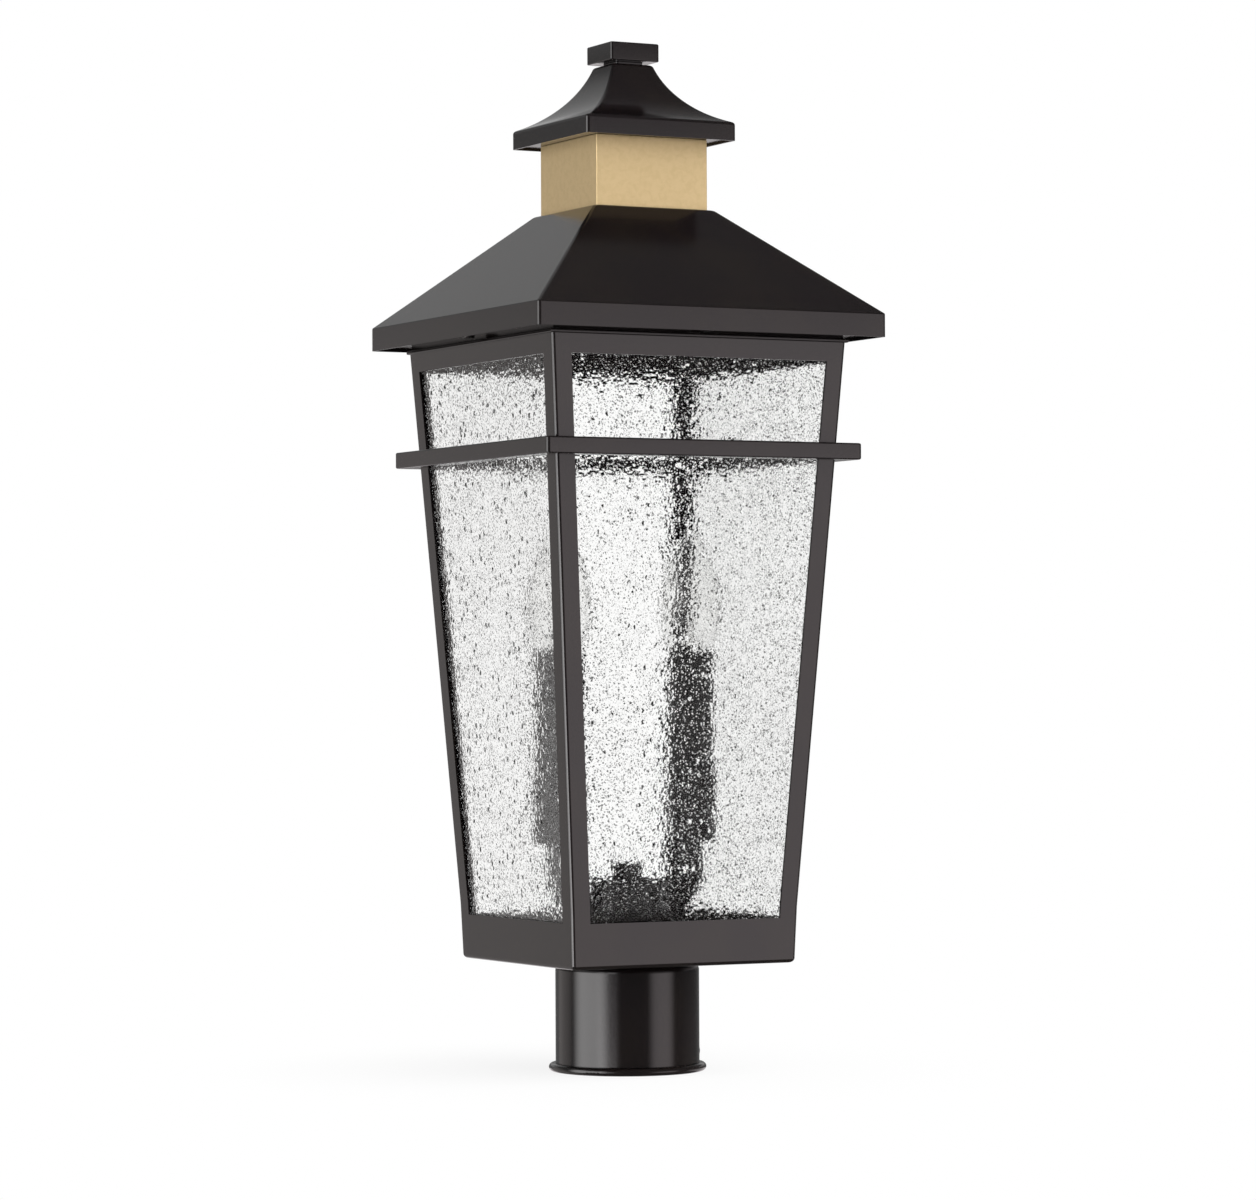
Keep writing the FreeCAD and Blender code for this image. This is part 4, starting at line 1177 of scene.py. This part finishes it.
def make_post(node):
    """A folded corner post that leans out, its foot turned under."""
    low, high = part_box(node)
    sign = [1 if high[axis] > -low[axis] else -1 for axis in (0, 1)]
    sections = []
    for height in foot_heights([CAGE_ROWS[1][0], CAGE_ROWS[2][0]]):
        face, end = foot_face(height), cage_half(height) - POST_LEG
        inner = face - CAGE_SHEET
        outline = [(face, end), *corner_arc(face, POST_ROUND, 6), (end, face), (end, inner)]
        outline += list(reversed(corner_arc(inner, POST_ROUND - CAGE_SHEET, 3))) + [(inner, end)]
        sections.append([(x * sign[0], y * sign[1], low.z + height) for x, y in outline])
    mesh = finished_mesh(node + "_folded", *lofted(sections))
    return add_piece(mesh.name, mesh, "bronze_paint", "lantern", node)


def make_pan():
    """The pan: four walls between the posts, their foot turned under, and the floor."""
    low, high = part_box("base_pan")
    points, faces = [], []

    def add(solid):
        start = len(points)
        points.extend(solid[0])
        faces.extend([tuple(start + item for item in face) for face in solid[1]])

    for along, out in (((1, 0), (0, 1)), ((0, 1), (-1, 0)), ((-1, 0), (0, -1)), ((0, -1), (1, 0))):
        sections = []
        for height in foot_heights([high.z - low.z]):
            face, end = foot_face(height), cage_half(height) - POST_LEG
            inner = face - CAGE_SHEET
            outline = [(-end, inner), (end, inner), (end, face), (-end, face)]
            sections.append([(a * along[0] + o * out[0], a * along[1] + o * out[1], low.z + height)
                             for a, o in outline])
        add(lofted(sections))
    floor = [(foot_face(height) - CAGE_SHEET, low.z + height, 0.0002)
             for height in (0.0, 0.0002, 0.0006, CAGE_SHEET)]
    floor += [(NIPPLE_HOLE, low.z + height, NIPPLE_HOLE) for height in (CAGE_SHEET, 0.0)]
    add(square_rings(floor))
    mesh = finished_mesh("pan_pressed", points, faces)
    return add_piece("pan_pressed", mesh, "bronze_paint", "lantern", "base_pan")


def make_band():
    """The square bar round the cage, painted over its mitres."""
    low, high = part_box("mid_band")
    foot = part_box("base_pan")[0].z
    inner_low, inner_high = cage_half(low.z - foot), cage_half(high.z - foot)
    line = rounded_line([
        (inner_low, low.z, 0), (high.x, low.z, 0.0009), (high.x, high.z, 0.0009),
        (inner_high, high.z, 0),
    ])
    rows = [(p.x, p.y, 0.0020 if p.x > inner_high + 0.0001 else 0.0010) for p in line]
    return square_piece("band_ring", rows, "bronze_paint", "lantern", "mid_band")


# ---------------------------------------------------------------- stage


# Each box of light: azimuth, half width and fade in degrees; then the sines of its low end and
# low fade, high end and high fade; then its colour.
GLOSSY_ROOM = (
    (180.0, 10, 27, -0.40, 0.2, 0.35, 0.2, (4.1, 4.05, 4.05)),
    (-60.0, 4, 22, -0.30, 0.15, 0.03, 0.16, (1.50, 1.37, 1.40)),
    (120.0, 9, 18, -0.80, 0.2, 0.05, 0.10, (0.44, 0.40, 0.39)),
    (97.0, 40, 40, -1.00, 0.1, 1.0, 0.1, (0.10, 0.10, 0.10)),
    (40.0, 45, 15, -0.40, 0.1, -0.14, 0.04, (0.90, 0.84, 0.85)),
    (-150.0, 8, 12, -0.32, 0.1, -0.13, 0.04, (6.5, 6.3, 6.4)),
    (80.0, 10, 18, 0.34, 0.1, 0.75, 0.25, (0.22, 0.22, 0.22)),
    (70.0, 45, 20, 0.16, 0.03, 0.27, 0.06, (0.35, 0.35, 0.35)),
    (0.0, 180, 0.1, 0.80, 0.25, 1.0, 0.1, (0.68, 0.68, 0.68)),
)
GLOSSY_BASE = (0.10, 0.10, 0.10)
SOFT_ROOM = (
    (-60.0, 30, 45, -1.0, 0.1, 1.0, 0.1, (2.75, 2.75, 2.75)),
)
SOFT_BASE = (0.16, 0.16, 0.16)
CEILING = (0.60, 0.90, 0.50)   # sines where its shade starts and ends, and its level
INSIDE_SHARE = 0.30    # how much of the reflected room gets in through the panes
WHITE = 1.0
FLOOR_BOUNCE = 0.85    # the floor's level in reflections and as light
FLOOR_LEVEL = -0.0002
SHADOW_START = 0.045   # distance from the middle at which the shadow starts to fade


def room_light(tree, flat, height, boxes, base, level):
    """The room's colour in a direction: a base and soft boxes round the horizon."""
    total = add_node(tree, "ShaderNodeCombineXYZ", dict(enumerate(base))).outputs[0]
    for azimuth, half, fade, low, low_fade, high, high_fade, colour in boxes:
        turn = math.radians(azimuth)
        middle = (math.cos(turn), math.sin(turn), 0.0)
        towards = vector_node(tree, "DOT_PRODUCT", flat, middle, "Value")
        edge = [math.cos(math.radians(min(180, a))) for a in (half + fade, half)]
        beside = smooth_range(tree, towards, *edge)
        above = smooth_range(tree, height, high + high_fade, high)
        below = smooth_range(tree, height, low - low_fade, low)
        share = math_node(tree, "MULTIPLY", math_node(tree, "MULTIPLY", above, below), beside)
        total = add_node(
            tree, "ShaderNodeVectorMath", {0: colour, 1: share, 2: total},
            operation="MULTIPLY_ADD").outputs[0]
    return scaled_vector(tree, total, level)


def make_room(settings):
    """White to the camera and through glass; soft boxes in reflections; soft light elsewhere."""
    world = bpy.data.worlds.new("studio")
    bpy.context.scene.world = world
    world.use_nodes = True
    world.cycles.sampling_method = "NONE"
    tree = world.node_tree
    out = tree.nodes["World Output"]
    back = tree.nodes["Background"]
    place = add_node(tree, "ShaderNodeTexCoord").outputs["Generated"]
    height = add_node(tree, "ShaderNodeSeparateXYZ", {0: place}).outputs["Z"]
    level = vector_node(tree, "MULTIPLY", place, (1.0, 1.0, 0.0))
    flat = add_node(tree, "ShaderNodeVectorMath", {0: level}, operation="NORMALIZE").outputs[0]
    glossy = room_light(tree, flat, height, GLOSSY_ROOM, GLOSSY_BASE, settings.glossy_level)
    soft = room_light(tree, flat, height, SOFT_ROOM, SOFT_BASE, settings.diffuse_level)
    through = smooth_range(tree, height, CEILING[0], CEILING[1], 1.0, CEILING[2])
    path = add_node(tree, "ShaderNodeLightPath").outputs
    turned_back = math_node(tree, "ADD", path["Glossy Depth"], path["Diffuse Depth"])
    mirrored = math_node(tree, "MINIMUM", path["Glossy Depth"], 1.0)
    behind_glass = linear_range(tree, path["Is Transmission Ray"], 0.0, 1.0, 1.0, INSIDE_SHARE)
    lit = scaled_vector(tree, mix_colours(tree, mirrored, soft, glossy), behind_glass)
    clear = math_node(tree, "SUBTRACT", path["Is Transmission Ray"], turned_back, clamp=True)
    seen_through = mix_colours(tree, clear, lit, through)
    colour = mix_colours(tree, path["Is Camera Ray"], seen_through, (WHITE, WHITE, WHITE))
    link(tree, colour, back.inputs["Color"])
    link(tree, back.outputs[0], out.inputs["Surface"])


def make_floor(settings):
    """A round floor that keeps the soft shadow near the lantern and fades to white."""
    steps = 96
    turns = [2 * math.pi * step / steps for step in range(steps)]
    rim = [(settings.floor_radius * math.cos(turn), settings.floor_radius * math.sin(turn),
            FLOOR_LEVEL) for turn in turns]
    mesh = mesh_from("floor", [(0, 0, FLOOR_LEVEL)] + rim,
                     [(0, s + 1, (s + 1) % steps + 1) for s in range(steps)], smooth=False)
    floor = bpy.data.objects.new("floor", mesh)
    bpy.context.scene.collection.objects.link(floor)
    floor.visible_glossy = False
    material = bpy.data.materials.new("pale_floor")
    material.use_nodes = True
    tree = material.node_tree
    tree.nodes.remove(tree.nodes["Principled BSDF"])
    out = tree.nodes["Material Output"]
    matt = add_node(tree, "ShaderNodeBsdfDiffuse")
    place = add_node(tree, "ShaderNodeTexCoord").outputs["Object"]
    paper = noise_texture(tree, place, 900.0, 2.0)
    link(tree, mix_colours(tree, paper, (0.90, 0.90, 0.90), (0.94, 0.94, 0.94)), matt.inputs[0])
    glow = add_node(tree, "ShaderNodeEmission")
    path = add_node(tree, "ShaderNodeLightPath").outputs
    seen = math_node(tree, "MAXIMUM", path["Is Camera Ray"], path["Is Transmission Ray"])
    link(tree, linear_range(tree, seen, 0.0, 1.0, FLOOR_BOUNCE, WHITE), glow.inputs["Strength"])
    away = add_node(
        tree, "ShaderNodeVectorMath", {0: place}, operation="LENGTH").outputs["Value"]
    fade = smooth_range(
        tree, away, SHADOW_START, settings.shadow_radius, 1.0 - settings.shadow, 1.0)
    mix = add_node(tree, "ShaderNodeMixShader", {
        0: fade, 1: matt.outputs[0], 2: glow.outputs[0]})
    link(tree, mix.outputs[0], out.inputs["Surface"])
    mesh.materials.append(material)


CAMERA_PLACE = (-27.6, 2.5822, 0.2217)   # degrees round from the front, distance and height
CAMERA_TURN = (-0.033, 1.068, -0.274)    # degrees turned, tilted up and rolled
CAMERA_LENS = 128.706                    # mm, on a frame 36 mm wide


def make_camera():
    """The camera at the photograph's place: to the left of the front, a little below mid height."""
    around, away, height = math.radians(CAMERA_PLACE[0]), *CAMERA_PLACE[1:]
    turn, tilt, roll = (math.radians(angle) for angle in CAMERA_TURN)
    place = Vector((math.sin(around) * away, -math.cos(around) * away, height))
    level = Matrix.Rotation(turn, 3, "Z") @ Vector((-math.sin(around), math.cos(around), 0))
    side = Vector((level.y, -level.x, 0))
    ahead = level * math.cos(tilt) + Vector((0, 0, math.sin(tilt)))
    up = Vector((0, 0, math.cos(tilt))) - level * math.sin(tilt)
    right = side * math.cos(roll) + up * math.sin(roll)
    above = up * math.cos(roll) - side * math.sin(roll)
    data = bpy.data.cameras.new("camera")
    data.sensor_fit = "HORIZONTAL"
    data.sensor_width = 36.0
    data.lens = CAMERA_LENS
    data.clip_end = 100.0
    camera = bpy.data.objects.new("camera", data)
    turned = Matrix((right, above, -ahead)).transposed().to_4x4()
    camera.matrix_world = Matrix.Translation(place) @ turned
    bpy.context.scene.collection.objects.link(camera)
    bpy.context.scene.camera = camera


# ---------------------------------------------------------------- operators


class LANTERN_OT_finishes(bpy.types.Operator):
    """Gives each carried-over CAD node the finish of its slot"""

    bl_idname = "lantern.finishes"
    bl_label = "Paint and plate the metalwork"

    def execute(self, context):
        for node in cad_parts.values():
            for slot in node.material_slots:
                name = slot.material.name.split(".")[0]
                if name in SLOTS:
                    slot.material = finish_for(name)
        return {"FINISHED"}


class LANTERN_OT_panes(bpy.types.Operator):
    """Rolls the four seeded panes"""

    bl_idname = "lantern.panes"
    bl_label = "Seeded glass panes"

    def execute(self, context):
        tree = make_seed_tree()
        for number, side in enumerate(SIDES):
            make_pane(side, number, context.scene.lantern_glass, tree)
        return {"FINISHED"}


class LANTERN_OT_arms(bpy.types.Operator):
    """Bends the two arms that carry the candles"""

    bl_idname = "lantern.arms"
    bl_label = "Bent arms"

    def execute(self, context):
        tree = make_arm_tree()
        for hand in HANDS:
            make_arm(hand, tree)
        return {"FINISHED"}


class LANTERN_OT_bulbs(bpy.types.Operator):
    """Blows the two lamp envelopes"""

    bl_idname = "lantern.bulbs"
    bl_label = "Lamp envelopes"

    def execute(self, context):
        for hand in HANDS:
            make_bulb(hand)
        return {"FINISHED"}


class LANTERN_OT_filaments(bpy.types.Operator):
    """Winds the two filaments on their supports"""

    bl_idname = "lantern.filaments"
    bl_label = "Filaments and stems"

    def execute(self, context):
        tree = make_filament_tree()
        for hand in HANDS:
            make_filament(hand, tree)
        return {"FINISHED"}


class LANTERN_OT_main_roof(bpy.types.Operator):
    """Folds the hipped main roof"""

    bl_idname = "lantern.main_roof"
    bl_label = "Main roof"

    def execute(self, context):
        make_main_roof()
        return {"FINISHED"}


class LANTERN_OT_cap_roof(bpy.types.Operator):
    """Presses the swept cap roof"""

    bl_idname = "lantern.cap_roof"
    bl_label = "Cap roof"

    def execute(self, context):
        make_cap_roof()
        return {"FINISHED"}


class LANTERN_OT_neck(bpy.types.Operator):
    """Bends the champagne neck"""

    bl_idname = "lantern.neck"
    bl_label = "Neck"

    def execute(self, context):
        make_neck()
        return {"FINISHED"}


class LANTERN_OT_finial(bpy.types.Operator):
    """Makes the finial block"""

    bl_idname = "lantern.finial"
    bl_label = "Finial"

    def execute(self, context):
        make_finial()
        return {"FINISHED"}


class LANTERN_OT_cage(bpy.types.Operator):
    """Folds the four posts and presses the pan"""

    bl_idname = "lantern.cage"
    bl_label = "Posts and pan"

    def execute(self, context):
        make_pan()
        for node in sorted(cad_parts):
            if node.startswith("corner_post_"):
                make_post(node)
        return {"FINISHED"}


class LANTERN_OT_band(bpy.types.Operator):
    """Runs the bar round the cage"""

    bl_idname = "lantern.band"
    bl_label = "Band round the cage"

    def execute(self, context):
        make_band()
        return {"FINISHED"}


class LANTERN_OT_stage(bpy.types.Operator):
    """Sets the camera, the floor and the light"""

    bl_idname = "lantern.stage"
    bl_label = "Stage, light and camera"

    def execute(self, context):
        settings = context.scene.lantern_stage
        make_camera()
        make_floor(settings)
        make_room(settings)
        return {"FINISHED"}


PIECE_OPERATORS = (
    LANTERN_OT_finishes,
    LANTERN_OT_panes,
    LANTERN_OT_arms,
    LANTERN_OT_bulbs,
    LANTERN_OT_filaments,
    LANTERN_OT_main_roof,
    LANTERN_OT_cap_roof,
    LANTERN_OT_neck,
    LANTERN_OT_finial,
    LANTERN_OT_cage,
    LANTERN_OT_band,
    LANTERN_OT_stage,
)


class LANTERN_PT_sidebar(bpy.types.Panel):
    """Lists the lantern's settings and pieces"""

    bl_idname = "LANTERN_PT_sidebar"
    bl_label = "Post Top Lantern"
    bl_space_type = "VIEW_3D"
    bl_region_type = "UI"
    bl_category = "Lantern"

    def draw(self, context):
        layout = self.layout
        for group in SETTINGS:
            box = layout.box()
            settings = getattr(context.scene, group)
            for name in settings.__annotations__:
                box.prop(settings, name)
        for operator in PIECE_OPERATORS:
            layout.operator(operator.bl_idname)


SETTINGS = {
    "lantern_glass": LanternGlassSettings,
    "lantern_finish": LanternFinishSettings,
    "lantern_stage": LanternStageSettings,
}
CLASSES = (*SETTINGS.values(), *PIECE_OPERATORS, LANTERN_PT_sidebar)


def register():
    for item in CLASSES:
        bpy.utils.register_class(item)
    for name, kind in SETTINGS.items():
        setattr(bpy.types.Scene, name, PointerProperty(type=kind))


def unregister():
    for name in SETTINGS:
        delattr(bpy.types.Scene, name)
    for item in reversed(CLASSES):
        bpy.utils.unregister_class(item)


def plain(bounds):
    """Two corners as lists of numbers."""
    return [[float(part) for part in corner] for corner in bounds]


def main():
    register()
    bpy.context.scene.view_settings.view_transform = "Standard"
    for operator in PIECE_OPERATORS:
        group, name = operator.bl_idname.split(".")
        getattr(getattr(bpy.ops, group), name)()


if __name__ == "__main__":
    main()
